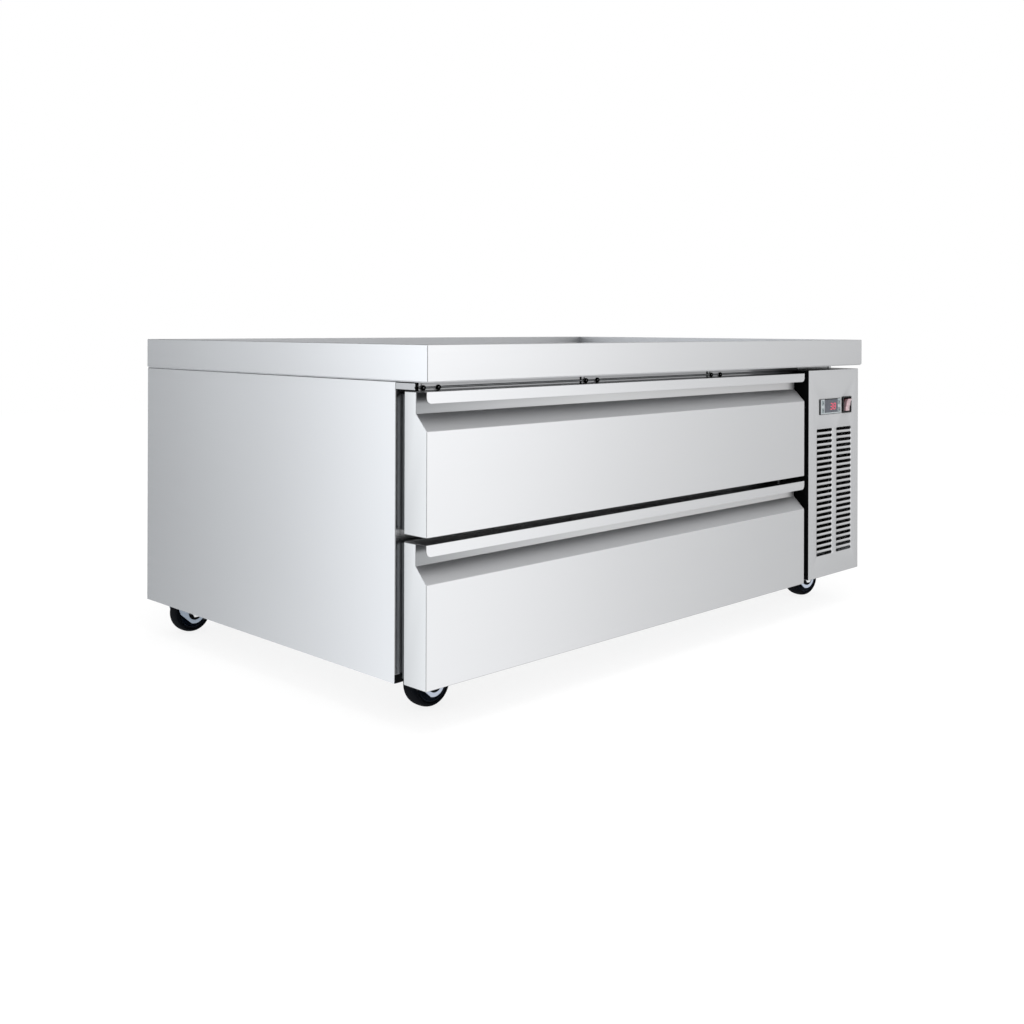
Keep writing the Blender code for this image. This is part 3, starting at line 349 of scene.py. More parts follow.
def spread(tree, source, socket, low, high):
    """Lets a socket swing between two values with a noise, which seldom leaves 0.3 to 0.7."""
    span = {1: noise_low, 2: noise_high, 3: low, 4: high}
    values = add_node(tree, "ShaderNodeMapRange", span, {0: source})
    tree.links.new(values.outputs[0], socket)


def tint(tree, shader, source, first, second):
    """Blends the base colour between two hex colours with a noise."""
    mix = add_node(
        tree,
        "ShaderNodeMix",
        {"data_type": "RGBA", 6: linear(first), 7: linear(second)},
        {0: source},
    )
    tree.links.new(mix.outputs[2], shader.inputs["Base Color"])
    return mix.outputs[2]


def raise_surface(tree, shader, source, height_mm, strength):
    """Bumps the surface by a noise."""
    settings = {"Strength": strength, "Distance": height_mm / 1000}
    bump = add_node(tree, "ShaderNodeBump", settings, {"Height": source})
    tree.links.new(bump.outputs["Normal"], shader.inputs["Normal"])


print("spots of 3 mm come", round(1000 / 3), "times in a metre")

# %% [markdown]
# Metal in a narrow fold mirrors the dark metal beside it. That is painted into the colour as
# shade: an occlusion node measures how closed in a point is, and that darkens the base colour.

# %% Darken the folds
crevice_samples = 8


def shade_crevices(tree, shader, colour, reach, darkest):
    """Paints shade into the base colour where other surfaces lie within a reach."""
    settings = {"samples": crevice_samples, "Distance": reach}
    hidden = add_node(tree, "ShaderNodeAmbientOcclusion", settings)
    shares = {1: 0.0, 2: 1.0, 3: darkest, 4: 1.0}
    depth = add_node(tree, "ShaderNodeMapRange", shares, {0: hidden.outputs["AO"]})
    shaded = add_node(
        tree,
        "ShaderNodeVectorMath",
        {"operation": "SCALE"},
        {"Vector": colour, "Scale": depth.outputs[0]},
    )
    tree.links.new(shaded.outputs[0], shader.inputs["Base Color"])


print("the folds are measured with", crevice_samples, "rays")

# %% [markdown]
# ### Brushed stainless steel
# The skins are 304 stainless with a No. 4 finish: an abrasive belt leaves short parallel scratches.
# They are too fine to see one by one from here, so they are drawn about 3 mm wide, very faint,
# and stretched along the belt's direction. A sheet is never quite flat either, so a second, slow
# noise bends the reflection a little. In folds the real metal shows its dark neighbours, which an
# occlusion node paints in as shade. A sheet that faces sideways is brushed along Y, all others
# along X.

# %% Brushed stainless
streaks_along_x = (110, 3, 3)
streaks_along_y = (3, 110, 3)
wave_mm = 320
wave_height_mm = 0.5
crevice_reach = 0.04
crevice_grey = 0.30


def brushed_stainless(part, streak_mm, dark="#DEDFE1", light="#DFE0E2", roughness=(0.252, 0.268)):
    material, tree, shader = start_finish("brushed_304_stainless_" + part, light, 0.26, 1.0)
    streaks = grain(tree, streak_mm)
    spread(tree, streaks, shader.inputs["Roughness"], *roughness)
    colour = tint(tree, shader, streaks, dark, light)
    shade_crevices(tree, shader, colour, crevice_reach, crevice_grey)
    waves = grain(tree, (wave_mm,) * 3, 0.0)
    raise_surface(tree, shader, waves, wave_height_mm, 1.0)
    return material


# The scratches blur what the sheet mirrors, so it shows soft bands of light and no picture.
steel = brushed_stainless("along_x", streaks_along_x)
steel_side = brushed_stainless("along_y", streaks_along_y)
steel_pair = (steel, steel_side)
# The ends of the drawers and of the rail stand beside black gaps, so their colour is painted
# greyer, as shade.
cap_steel_painted_shade = brushed_stainless("drawer_ends", streaks_along_y, "#D4D5D6", "#D6D7D8")
rail_end_steel_painted_shade = brushed_stainless("rail_end", streaks_along_y, "#B0B1B3", "#B2B3B5")
# The slanted face is stretched between two folds. It is duller, and mirrors nothing clearly.
# Its colour is also painted a little darker, as shade below the pull.
bevel_steel = brushed_stainless("bevel", streaks_along_x, "#CDCED0", "#CFD0D2", (0.46, 0.50))


def tray_stainless():
    """The tray's own finish, which the feet of heavy appliances have worn dull."""
    material, tree, shader = start_finish("worn_304_stainless_tray", "#C3C4C6", 0.42, 1.0)
    wear = grain(tree, (60, 60, 60))
    spread(tree, wear, shader.inputs["Roughness"], 0.40, 0.45)
    tint(tree, shader, wear, "#BFC0C2", "#C6C7C9")
    return material


tray_steel = tray_stainless()
print("brushed finishes:", len(bpy.data.materials) - 1)

# %% [markdown]
# ### Steel beside its neighbours
# The rail and the finger recesses lie in narrow gaps, where steel mirrors the parts beside it more
# than the room. What it mirrors there changes slowly along the front: it is pale under a pull and
# nearly black beside the machine panel. That is painted into the colour as reflection and shade,
# as a blend along X.

# %% Steel that changes along X
def blend_along_x(tree, shader, stops):
    """Blends the base colour between hex colours at places along the object's own X."""
    place = add_node(tree, "ShaderNodeTexCoord", {})
    along = add_node(tree, "ShaderNodeSeparateXYZ", {}, {"Vector": place.outputs["Object"]})
    stops = [(x, linear(colour)) for x, colour in stops]
    blend = blend_along(tree, along.outputs["X"], stops[0][0], stops[-1][0], stops)
    tree.links.new(blend, shader.inputs["Base Color"])


def stainless_along(name, *stops):
    material, tree, shader = start_finish(name, stops[0][1], 0.3, 1.0)
    spread(tree, grain(tree, streaks_along_x), shader.inputs["Roughness"], 0.28, 0.32)
    blend_along_x(tree, shader, stops)
    return material


# The rail's colour is painted with the reflection of the pale pull below it, and with shade that
# turns it dark on its way to the machine panel.
rail_steel_painted_shade = stainless_along(
    "brushed_304_stainless_rail_painted_shade",
    (-0.61, "#A1A2A4"),
    (0.215, "#A1A2A4"),
    (0.245, "#68696B"),
    (0.30, "#4C4D4F"),
    (0.34, "#1A1B1C"),
    (0.40, "#101011"),
)
# The strip in its groove lies deeper, so its colour is painted darker, as shade, for most of
# its length.
insert_steel_painted_shade = stainless_along(
    "strip_in_the_rail_painted_shade",
    (-0.61, "#96989A"),
    (0.215, "#96989A"),
    (0.30, "#5C5D5F"),
    (0.34, "#1A1B1C"),
    (0.40, "#101011"),
)
# A recess's colour is painted with shade: dimmest at its open left end, brighter under the pull.
recess_steel_painted_shade = stainless_along(
    "brushed_304_stainless_recess_painted_shade",
    (-0.61, "#989A9C"),
    (-0.45, "#B4B5B7"),
    (-0.21, "#CDCECF"),
    (0.39, "#D0D0D1"),
)
print("finishes so far:", len(bpy.data.materials))

# %% [markdown]
# ### The plainer metals
# Inside and behind, the maker saves money: mill finish sheet, which is dull and cloudy, and bright
# zinc on pressed steel, which is bluish with faint crystal patches. Screws are turned and
# polished, and tubes are drawn copper that has tarnished a little. One noise, in patches of a few
# millimetres, is enough for all of them.

# %% Plainer metals
patch_height_mm = 0.05
patch_strength = 0.1


def cloudy_metal(name, dark, light, roughness, patch_mm):
    material, tree, shader = start_finish(name, light, sum(roughness) / 2, 1.0)
    patches = grain(tree, (patch_mm,) * 3, 4.0)
    spread(tree, patches, shader.inputs["Roughness"], *roughness)
    tint(tree, shader, patches, dark, light)
    raise_surface(tree, shader, patches, patch_height_mm, patch_strength)
    return material


# Mill finish is matt and cloudy: it shows light and shade, and no picture of the room.
mill_steel = cloudy_metal("mill_finish_stainless", "#C0C2C4", "#C8C9CB", (0.40, 0.46), 14)
# New zinc has a blue cast, and small patches that shine unevenly. The rear forks' zinc is a
# little rougher, and its colour is painted darker as shade under the cabinet.
bright_zinc = cloudy_metal("bright_zinc_plated_steel", "#A6AFBE", "#C6CDDB", (0.28, 0.42), 6)
zinc_painted_shade = cloudy_metal("zinc_plated_steel_painted_shade", "#8792A0", "#A4AFBC", (0.32, 0.46), 6)
# A polished screw is a small mirror with a bright spot.
screw_steel = cloudy_metal("polished_screw_steel", "#C6C7C9", "#DADBDC", (0.16, 0.26), 3)
# Tarnish leaves copper brown, with some shine in places.
copper = cloudy_metal("tarnished_copper_tube", "#A8623F", "#C98560", (0.25, 0.42), 9)
# A weld that was ground flat is rougher than the sheet, and reads as a faint dull seam.
weld = cloudy_metal("ground_weld", "#A2A3A4", "#B4B5B6", (0.45, 0.6), 4)
print("finishes so far:", len(bpy.data.materials))

# %% [markdown]
# ### Plastics, rubber and paint
# Moulded plastic has a fine spark-eroded grain that breaks up its gloss. Rubber is duller still.
# Enamel flows out smooth with a slight orange peel. The finest of these textures measure less
# than a tenth of a millimetre and wouldn't show, so they are drawn from about half a millimetre
# up. The other noise sizes are those of each surface's own texture.

# %% Plastics, rubber and paint
grain_strength = 0.25


def moulded(name, dark, light, roughness, grain_mm, height_mm, settings=()):
    material, tree, shader = start_finish(name, light, sum(roughness) / 2, 0.0, settings)
    texture = grain(tree, (grain_mm,) * 3, 3.0)
    spread(tree, texture, shader.inputs["Roughness"], *roughness)
    tint(tree, shader, texture, dark, light)
    raise_surface(tree, shader, texture, height_mm, grain_strength)
    return material


# Black ABS looks dark grey where its grain scatters the light.
black_abs = moulded("black_moulded_abs", "#141517", "#1C1D20", (0.35, 0.5), 0.6, 0.05)
# The printed film is a flat silver grey, and the keys on it are duller still.
label_film = moulded("printed_polycarbonate_label", "#AEB6BA", "#C3CACC", (0.3, 0.4), 1.5, 0.02)
key_plastic = moulded("grey_moulded_key", "#7E8A8E", "#929DA0", (0.4, 0.55), 0.8, 0.05)
# Extruded vinyl is soft and even. Its magnet pocket is painted dark, as shade where it meets
# the frame.
gasket_vinyl = moulded("grey_vinyl_gasket", "#CED2D5", "#DADDDF", (0.5, 0.65), 4, 0.1)
magnet_pocket_painted_shade = moulded("vinyl_magnet_pocket_painted_shade", "#5E6164", "#696C6F", (0.5, 0.65), 4, 0.1)
# Rubber and the wheels' plastics mirror almost nothing, so they stay black in a bright room. The
# same dull black is painted shade wherever it fills a gap or hollow.
dull = {"Specular IOR Level": 0.06}
painted_shade_black = moulded("black_painted_shade", "#070809", "#0C0D0E", (0.6, 0.75), 1.5, 0.03, dull)
caster_rubber = moulded(
    "black_polyurethane_tread", "#020409", "#050910", (0.55, 0.65), 5, 0.08, dull
)
caster_core = moulded("black_polypropylene_core", "#070D17", "#0C1522", (0.34, 0.42), 3, 0.04, dull)
# Glass fibres at the surface make nylon greyer than ABS.
fan_nylon = moulded("black_glass_filled_nylon", "#17181A", "#222426", (0.45, 0.6), 1.2, 0.08)
# A vacuum formed liner is white with a slight sheen.
liner_abs = moulded("white_abs_liner", "#D6D8D9", "#E2E3E4", (0.35, 0.48), 8, 0.05)
# Baked enamel is glossy, and powder paint has a fine orange peel.
enamel = moulded("black_baked_enamel", "#0B0B0C", "#131314", (0.18, 0.28), 3, 0.03)
sheet_paint = moulded("black_powder_coat", "#141516", "#1A1B1D", (0.45, 0.6), 0.9, 0.06)
print("finishes so far:", len(bpy.data.materials))

# %% [markdown]
# ### The switch's and the display's plastics
# Dyed polycarbonate comes polished out of its mould, and a clear coat gives it that second,
# sharper shine. The front of the rocker is hollow, and its colour is painted as a blend across the
# width: dark red on the left, and a painted pale highlight, the room's reflection, on the right.
# Lit digits give off about as much light as they reflect, which keeps them red in a bright room.

# %% Clear plastics
lens_left, lens_right = 0.5428, 0.5702
painted_highlight_shares = ((0.0, "#35121B"), (0.34, "#5A2A36"), (0.46, "#DDB9BF"), (1.0, "#C4B4B7"))

polished = {"Coat Weight": 0.6, "Coat Roughness": 0.08}
rocker_red = moulded("red_polycarbonate", "#3E0C16", "#54101E", (0.12, 0.2), 4, 0.02, polished)
rocker_lens_painted_highlight, tree, shader = start_finish(
    "red_rocker_lens_painted_highlight", "#C79AA2", 0.25, 0.0, {"Coat Weight": 0.5}
)
lens_width = lens_right - lens_left
blend_along_x(tree, shader, [(lens_left + s * lens_width, colour) for s, colour in painted_highlight_shares])

# The window is smoked to a dark grey, so that only what is lit behind it is seen.
hard_coat = {"Coat Weight": 0.4, "Coat Roughness": 0.1}
window_glass = moulded(
    "smoked_display_window", "#464B55", "#4F545F", (0.25, 0.32), 12, 0.01, hard_coat
)
lit_red, tree, shader = start_finish(
    "lit_led_segment", "#9A3044", 0.4, 0.0, {"Emission Strength": 0.75}
)
shader.inputs["Emission Color"].default_value = linear("#FF6078")
print("finishes:", len(bpy.data.materials))

# %% [markdown]
# ## Helpers for shapes
# A folded sheet is easy to model as it is made: draw the bend line by line, pull it along, round
# each fold, and give it its thickness last. These helpers keep to Blender's own operators. The
# plainest start is a cube, stretched between two corners. A bevel then softens its edges, because
# no real edge is quite sharp, and a soft one catches the light.

# %% Blocks and soft edges
sheet = 0.0012
bend = 0.0010
sliver = 0.0001


def block(low, high):
    """A box between two corners."""
    shape = bmesh.new()
    bmesh.ops.create_cube(shape, size=1)
    low, high = Vector(low), Vector(high)
    bmesh.ops.scale(shape, vec=high - low, verts=shape.verts)
    bmesh.ops.translate(shape, vec=(low + high) / 2, verts=shape.verts)
    return shape


def round_edges(shape, radius, steps=3, chosen=None, sharper_than=0.5):
    """Rounds the chosen edges, or all that turn sharply between two faces."""
    if chosen is None:
        shape.normal_update()
        chosen = [edge for edge in shape.edges if edge.calc_face_angle(0) > sharper_than]
    bmesh.ops.bevel(
        shape,
        geom=chosen,
        offset=radius,
        offset_type="OFFSET",
        segments=steps,
        profile=0.5,
        affect="EDGES",
        clamp_overlap=True,
        material=-1,
    )
    return shape


def soft_block(low, high, radius, steps=2):
    return round_edges(block(low, high), radius, steps)


print("sheet:", sheet * 1000, "mm thick, folded round", bend * 1000, "mm")

# %% [markdown]
# Many steps begin with some faces or edges of a shape: the top to sink in, the upright edges to
# round. An operator also returns what it made, mixed, and often only the vertices are wanted.

# %% Picking faces, edges and vertices
def faces_towards(shape, direction):
    """The faces that point a given way."""
    shape.normal_update()
    direction = Vector(direction)
    return [face for face in shape.faces if face.normal.dot(direction) > 0.99]


def upright_edges(shape):
    return [e for e in shape.edges if abs(e.verts[0].co.z - e.verts[1].co.z) > sliver]


def verts_of(geometry):
    """The vertices among what an operator made."""
    return [item for item in geometry if isinstance(item, bmesh.types.BMVert)]


trial = block((0, 0, 0), (1, 1, 1))
print("a block has", len(upright_edges(trial)), "upright edges")
trial.free()

# %% [markdown]
# Rails, legs and drawer boxes have one section along their whole length. A closed outline is
# filled and extruded, which gives a solid. An open path is extruded edge by edge, which gives a
# sheet without thickness.

# %% Sections pulled along an axis
def across(axis, first, second, place):
    """A point at a place along an axis, with its two other coordinates in X, Y, Z order."""
    point = [first, second]
    point.insert("XYZ".index(axis), place)
    return Vector(point)


def prism(outline, axis, start, end):
    """A closed outline, pulled along an axis."""
    shape = bmesh.new()
    face = shape.faces.new([shape.verts.new(across(axis, a, b, start)) for a, b in outline])
    pulled = bmesh.ops.extrude_face_region(shape, geom=[face])["geom"]
    bmesh.ops.translate(shape, vec=across(axis, 0, 0, end - start), verts=verts_of(pulled))
    bmesh.ops.recalc_face_normals(shape, faces=shape.faces)
    return shape


def strip(path, axis, start, end):
    """An open path, pulled along an axis: a sheet before it is given its thickness."""
    shape = bmesh.new()
    points = [shape.verts.new(across(axis, a, b, start)) for a, b in path]
    edges = [shape.edges.new(pair) for pair in zip(points, points[1:])]
    pulled = bmesh.ops.extrude_edge_only(shape, edges=edges)["geom"]
    bmesh.ops.translate(shape, vec=across(axis, 0, 0, end - start), verts=verts_of(pulled))
    return shape


trial = strip([(0, 0), (0, 1), (1, 1)], "X", 0, 1)
print("a path of two lines, pulled along X, makes", len(trial.faces), "faces")
trial.free()

# %% [markdown]
# Wheels, screws and ball races are round: half of their section is spun once about an axis. A
# gasket or a switch frame has one section too, run round a rectangle. Each point of the section
# makes a rectangle of its own, and neighbouring ones are bridged, which mitres the corners.

# %% Turned forms and frames
def turned(profile, axis, centre, steps=48, closed=False):
    """A profile of (radius, place along the axis), spun once round."""
    shape = bmesh.new()
    points = [shape.verts.new((radius, 0, place)) for radius, place in profile]
    pairs = list(zip(points, points[1:]))
    if closed:
        pairs.append((points[-1], points[0]))
    edges = [shape.edges.new(pair) for pair in pairs]
    bmesh.ops.spin(
        shape,
        geom=points + edges,
        cent=(0, 0, 0),
        axis=(0, 0, 1),
        angle=math.tau,
        steps=steps,
        use_merge=True,
    )
    bmesh.ops.remove_doubles(shape, verts=shape.verts, dist=sliver / 10)
    turns = {
        "X": Matrix.Rotation(math.pi / 2, 4, "Y"),
        "Y": Matrix.Rotation(-math.pi / 2, 4, "X"),
        "Z": Matrix.Identity(4),
    }
    bmesh.ops.transform(shape, matrix=Matrix.Translation(centre) @ turns[axis], verts=shape.verts)
    bmesh.ops.recalc_face_normals(shape, faces=shape.faces)
    return shape


def picture_frame(profile, low, high):
    """A ring with mitred corners that faces -Y: each profile point is (inset, place along Y)."""
    shape = bmesh.new()
    loops = []
    for inset, y in profile:
        corners = [(low.x + inset, low.z + inset), (high.x - inset, low.z + inset)]
        corners += [(high.x - inset, high.z - inset), (low.x + inset, high.z - inset)]
        points = [shape.verts.new((x, y, z)) for x, z in corners]
        loops.append([shape.edges.new(pair) for pair in zip(points, points[1:] + points[:1])])
    for first, second in zip(loops, loops[1:] + loops[:1]):
        bmesh.ops.bridge_loops(shape, edges=first + second)
    bmesh.ops.recalc_face_normals(shape, faces=shape.faces)
    return shape


trial = turned([(0, 0), (1, 0), (1, 1), (0, 1)], "Z", (0, 0, 0), 8)
print("a rectangle spun in 8 steps makes", len(trial.faces), "faces")
trial.free()

# %% [markdown]
# Last come places at equal steps, an arc made of them, and a way to join small shapes, so that a
# row of screws is one piece.

# %% Steps, arcs and gathering
def evenly(start, end, count):
    """Places from start to end at equal steps, both included."""
    return [start + (end - start) * step / (count - 1) for step in range(count)]


def arc(centre, radius, start, end, steps):
    """Points along an arc, both ends included."""
    angles = evenly(start, end, steps + 1)
    return [(centre[0] + radius * math.cos(a), centre[1] + radius * math.sin(a)) for a in angles]


def gather(*shapes, number=0):
    """Puts several shapes into the first, and gives those that follow a material number."""
    for other in shapes[1:]:
        for face in other.faces:
            face.material_index = max(face.material_index, number)
        mesh = bpy.data.meshes.new("gathered")
        other.to_mesh(mesh)
        other.free()
        shapes[0].from_mesh(mesh)
        bpy.data.meshes.remove(mesh)
    return shapes[0]


print("a half circle in 8 steps has", len(arc((0, 0), 1, 0, math.pi, 8)), "points")

# %% [markdown]
# ## Handing a piece over
# A finished piece is smooth shaded with weighted normals, which keep a flat sheet flat right up to
# its rounded folds. It rides on its body, takes its materials, and stands for its plain node.
# Where it has the two brushed steels, they are shared out by which way a face points.

# %% Dress a piece
sideways = 0.7
eased_angle = math.radians(40)


def share_sides(faces):
    """Gives the second finish to the faces that point along X, and the first to the others."""
    for face in faces:
        face.material_index = 1 if abs(face.normal.x) > sideways else 0


def dress(name, shape, body, materials, stands_for=(), thickness=0.0, eased=0.0):
    """Makes the shape a piece of the object, with a sheet's thickness or eased edges if asked."""
    if materials == steel_pair:
        shape.normal_update()
        share_sides(shape.faces)
    mesh = bpy.data.meshes.new(name)
    shape.to_mesh(mesh)
    shape.free()
    for material in materials:
        mesh.materials.append(material)
    mesh.shade_smooth()
    made = bpy.data.objects.new(name, mesh)
    bpy.context.scene.collection.objects.link(made)
    if thickness:
        wall = made.modifiers.new("sheet", "SOLIDIFY")
        wall.thickness = thickness
        wall.offset = -1
        wall.use_even_offset = True
    if eased:
        edges = made.modifiers.new("eased edges", "BEVEL")
        edges.width = eased
        edges.segments = 2
        edges.limit_method = "ANGLE"
        edges.angle_limit = eased_angle
    flats = made.modifiers.new("flat faces", "WEIGHTED_NORMAL")
    flats.keep_sharp = True
    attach(made, body)
    if stands_for:
        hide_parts(*stands_for)
    print(f"{name}: {len(mesh.polygons)} faces")
    return made


def finish_node(materials, *names):
    """Gives CAD nodes that keep their shape a better material, and a second one to their ends."""
    for name in names:
        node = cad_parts[name]
        node.data.materials.clear()
        for material in materials:
            node.data.materials.append(material)
        if len(materials) > 1:
            share_sides(node.data.polygons)


print("plain nodes to dress:", len(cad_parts))

# %% [markdown]
# ## The worktop
# The top is one sheet, folded down all round into an apron, with a raised rim that keeps spills
# on it. A cube with its underside taken off, an inset for the rim and an extrusion for the tray
# give its form in three moves. The corners are welded and ground, which leaves a faint seam.

# %% Worktop
rim_width = 0.012
tray_depth = 0.016
tray_finish = 2
seam_radius = 0.0006


def worktop():
    low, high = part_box("worktop")
    shape = block(low, high)
    bmesh.ops.delete(shape, geom=faces_towards(shape, (0, 0, -1)), context="FACES_ONLY")
    tray = faces_towards(shape, (0, 0, 1))
    bmesh.ops.inset_region(shape, faces=tray, thickness=rim_width, use_even_offset=True)
    sunk = bmesh.ops.extrude_face_region(shape, geom=tray)["geom"]
    bmesh.ops.delete(shape, geom=tray, context="FACES_ONLY")
    bmesh.ops.translate(shape, vec=(0, 0, -tray_depth), verts=verts_of(sunk))
    round_edges(shape, bend, 4)
    skin = dress(
        "worktop_skin", shape, "cabinet", steel_pair, ["worktop"], sheet
    )
    skin.data.materials.append(tray_steel)
    inside = Vector((high.x - rim_width + bend / 2, high.y - rim_width + bend / 2, 0))
    for face in skin.data.polygons:
        if abs(face.center.x) < inside.x and abs(face.center.y) < inside.y:
            face.material_index = tray_finish
    corners = []
    for side_x in (-1, 1):
        for side_y in (-1, 1):
            for inset, bottom, top in (
                (seam_radius, low.z, high.z - bend),
                (rim_width, high.z - tray_depth, high.z - bend),
            ):
                x = side_x * (high.x - inset)
                y = side_y * (high.y - inset)
                profile = [(0, bottom), (seam_radius, bottom), (seam_radius, top), (0, top)]
                corners.append(turned(profile, "Z", (x, y, 0), 10))
    dress("worktop_corner_welds", gather(*corners), "cabinet", (weld,))
    finish_node((mill_steel,), "worktop_core")


worktop()

# %% [markdown]
# ## The cabinet's skins
# A side panel is a flat sheet with a narrow return at its front and another along its top. Their
# round folds catch thin lines of light. A cube that keeps only these three faces has both folds
# and the corner where they meet. The liner, the frame and the floor keep their plain shapes,
# because they are plain boards and sheets.

# %% Side panels, frame and liners
def side_panel(side, node):
    low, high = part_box(node)
    shape = block(low, high)
    for direction in ((-side, 0, 0), (0, 1, 0), (0, 0, -1)):
        bmesh.ops.delete(shape, geom=faces_towards(shape, direction), context="FACES_ONLY")
    round_edges(shape, bend * 1.5, 4)
    dress(f"{node}_skin", shape, "cabinet", steel_pair, [node], sheet)


side_panel(-1, "left_side_panel")
side_panel(1, "right_side_panel")
finish_node(steel_pair, "front_frame")
finish_node((mill_steel,), "back_panel", "base_panel", "evaporator_cover")
finish_node((liner_abs,), "cabinet_floor", "left_wall", "divider_wall", "back_wall")

# %% [markdown]
# At the left panel's foot, where the front return ends, a small black block stands in as painted
# shade, which keeps that corner dark. It is a block with soft edges.

# %% Painted shade at the corner
shade_block_width = 0.0255
shade_block_height = 0.0130
shade_block_lift = 0.0002
shade_block_edge = 0.0006

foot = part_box("left_side_panel")[0]
shade_block_low = foot + Vector((shade_block_lift, -shade_block_lift, shade_block_lift))
shade_block_high = Vector((foot.x + shade_block_width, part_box("front_frame")[1].y, foot.z + shade_block_height))
shade_block = soft_block(shade_block_low, shade_block_high, shade_block_edge)
dress("front_corner_painted_shade_block", shade_block, "cabinet", (painted_shade_black,))

# %% [markdown]
# ## Drawer fronts
# Each front is a shallow box folded round its insulation. Near the top it is set back for the
# fingers, and a slanted face leads out again below. The recess, the ends and the slanted face each
# have their own steel, chosen by where a face lies, with shade painted into their colour.

# %% Drawer fronts
finger_recess = 0.0234
recess_height = 0.0325
bevel_height = 0.024
recess_finish, end_finish, bevel_finish = 2, 3, 4


def drawer_front(level):
    body = f"{level}_drawer"
    low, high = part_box(f"{body}_front")
    face, back, bottom, top = low.y, high.y, low.z, high.z
    recess = face + finger_recess
    under_lip = top - sheet - sliver
    outline = [
        (back, under_lip),
        (recess, under_lip),
        (recess, top - recess_height),
        (face, top - recess_height - bevel_height),
        (face, bottom),
        (back, bottom),
    ]
    box = prism(outline, "X", low.x, high.x)
    bmesh.ops.delete(box, geom=faces_towards(box, (0, 1, 0)), context="FACES_ONLY")
    round_edges(box, bend, 4)
    skin = dress(
        f"{body}_skin", box, body, steel_pair, [f"{body}_front"], sheet
    )
    for finish in (recess_steel_painted_shade, cap_steel_painted_shade, bevel_steel):
        skin.data.materials.append(finish)
    for part in skin.data.polygons:
        if part.normal.y < -0.9 and part.center.z > top - recess_height:
            part.material_index = recess_finish
        elif part.material_index == 1:
            part.material_index = end_finish
        elif part.normal.z > 0.3 and part.center.z < top - recess_height + bend:
            part.material_index = bevel_finish
    finish_node((liner_abs,), f"{body}_core")


print("a finger recess is", round(finger_recess * 1000, 1), "mm deep")

# %% [markdown]
# The pull is the lip over that hollow. The top sheet runs forward and turns down in a flange, whose
# two lower corners are cut round, so that no point catches a hand.

# %% Drawer pulls
lip_flange = 0.017
lip_corner = 0.0085


def drawer_pull(level):
    body = f"{level}_drawer"
    low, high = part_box(f"{body}_front")
    face, back, top = low.y, high.y, high.z
    lip = strip([(face, top - lip_flange), (face, top), (back, top)], "X", low.x, high.x)
    bmesh.ops.recalc_face_normals(lip, faces=lip.faces)
    round_edges(lip, bend, 4)
    corners = [vert for vert in lip.verts if vert.co.z < top - lip_flange + sliver]
    bmesh.ops.bevel(
        lip,
        geom=corners,
        offset=lip_corner,
        offset_type="OFFSET",
        segments=8,
        profile=0.5,
        affect="VERTICES",
        clamp_overlap=True,
        material=-1,
    )
    lip.normal_update()
    for part in lip.faces:
        if part.normal.z - part.normal.y < 0:
            part.normal_flip()
    dress(f"{body}_pull", lip, body, steel_pair, thickness=sheet)


for level_name in ("upper", "lower"):
    drawer_front(level_name)
    drawer_pull(level_name)

# %% [markdown]
# ## Gaskets
# A magnetic gasket seals each drawer. Its section is a clip, a bellows that lets it follow the
# frame, and a magnet pocket with a flat face. One section, run round a rectangle with mitred
# corners, is how the real one is welded up too. The bellows is pale; the clip is painted black and
# the pocket dark, as shade where they sit in the front and meet the frame.

# %% Gaskets
gasket_width = 0.014
gasket_spare_above, gasket_spare_below = 0.007, 0.012
gasket_edge = 0.0004
clip_share, magnet_share = 0.25, 0.66
gasket_finish = (gasket_vinyl, painted_shade_black, magnet_pocket_painted_shade)
gasket_section_shares = (
    (0.00, 0.00),
    (1.00, 0.00),
    (1.00, 0.13),
    (0.70, 0.22),
    (0.62, 0.32),
    (0.88, 0.45),
    (0.62, 0.58),
    (0.74, 0.68),
    (1.00, 0.74),
    (1.00, 1.00),
    (0.00, 1.00),
    (0.00, 0.74),
    (0.26, 0.68),
    (0.38, 0.58),
    (0.12, 0.45),
    (0.38, 0.32),
    (0.30, 0.22),
    (0.00, 0.13),
)


def gasket(level):
    body = f"{level}_drawer"
    low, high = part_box(f"{body}_gasket")
    low.z -= gasket_spare_below
    high.z += gasket_spare_above
    reach = high.y - low.y
    profile = [(i * gasket_width, low.y + place * reach) for i, place in gasket_section_shares]
    shape = picture_frame(profile, low, high)
    for face in shape.faces:
        share = (face.calc_center_median().y - low.y) / reach
        face.material_index = 1 if share < clip_share else 2 if share > magnet_share else 0
    dress(
        f"{body}_bellows",
        shape,
        body,
        gasket_finish,
        [f"{body}_gasket"],
        eased=gasket_edge,
    )


for level_name in ("upper", "lower"):
    gasket(level_name)

# %% [markdown]
# ## Drawer trays
# The tray inside takes the food pans. It is a block without a lid, made of thin sheet. Its corners
# are round for cleaning, and its rim is folded back on itself so that no edge is sharp: the open
# edge is extruded twice, inwards and then down.

# %% Drawer trays
tray_corner = 0.008
rim_fold = 0.009
slide_room = 0.0114


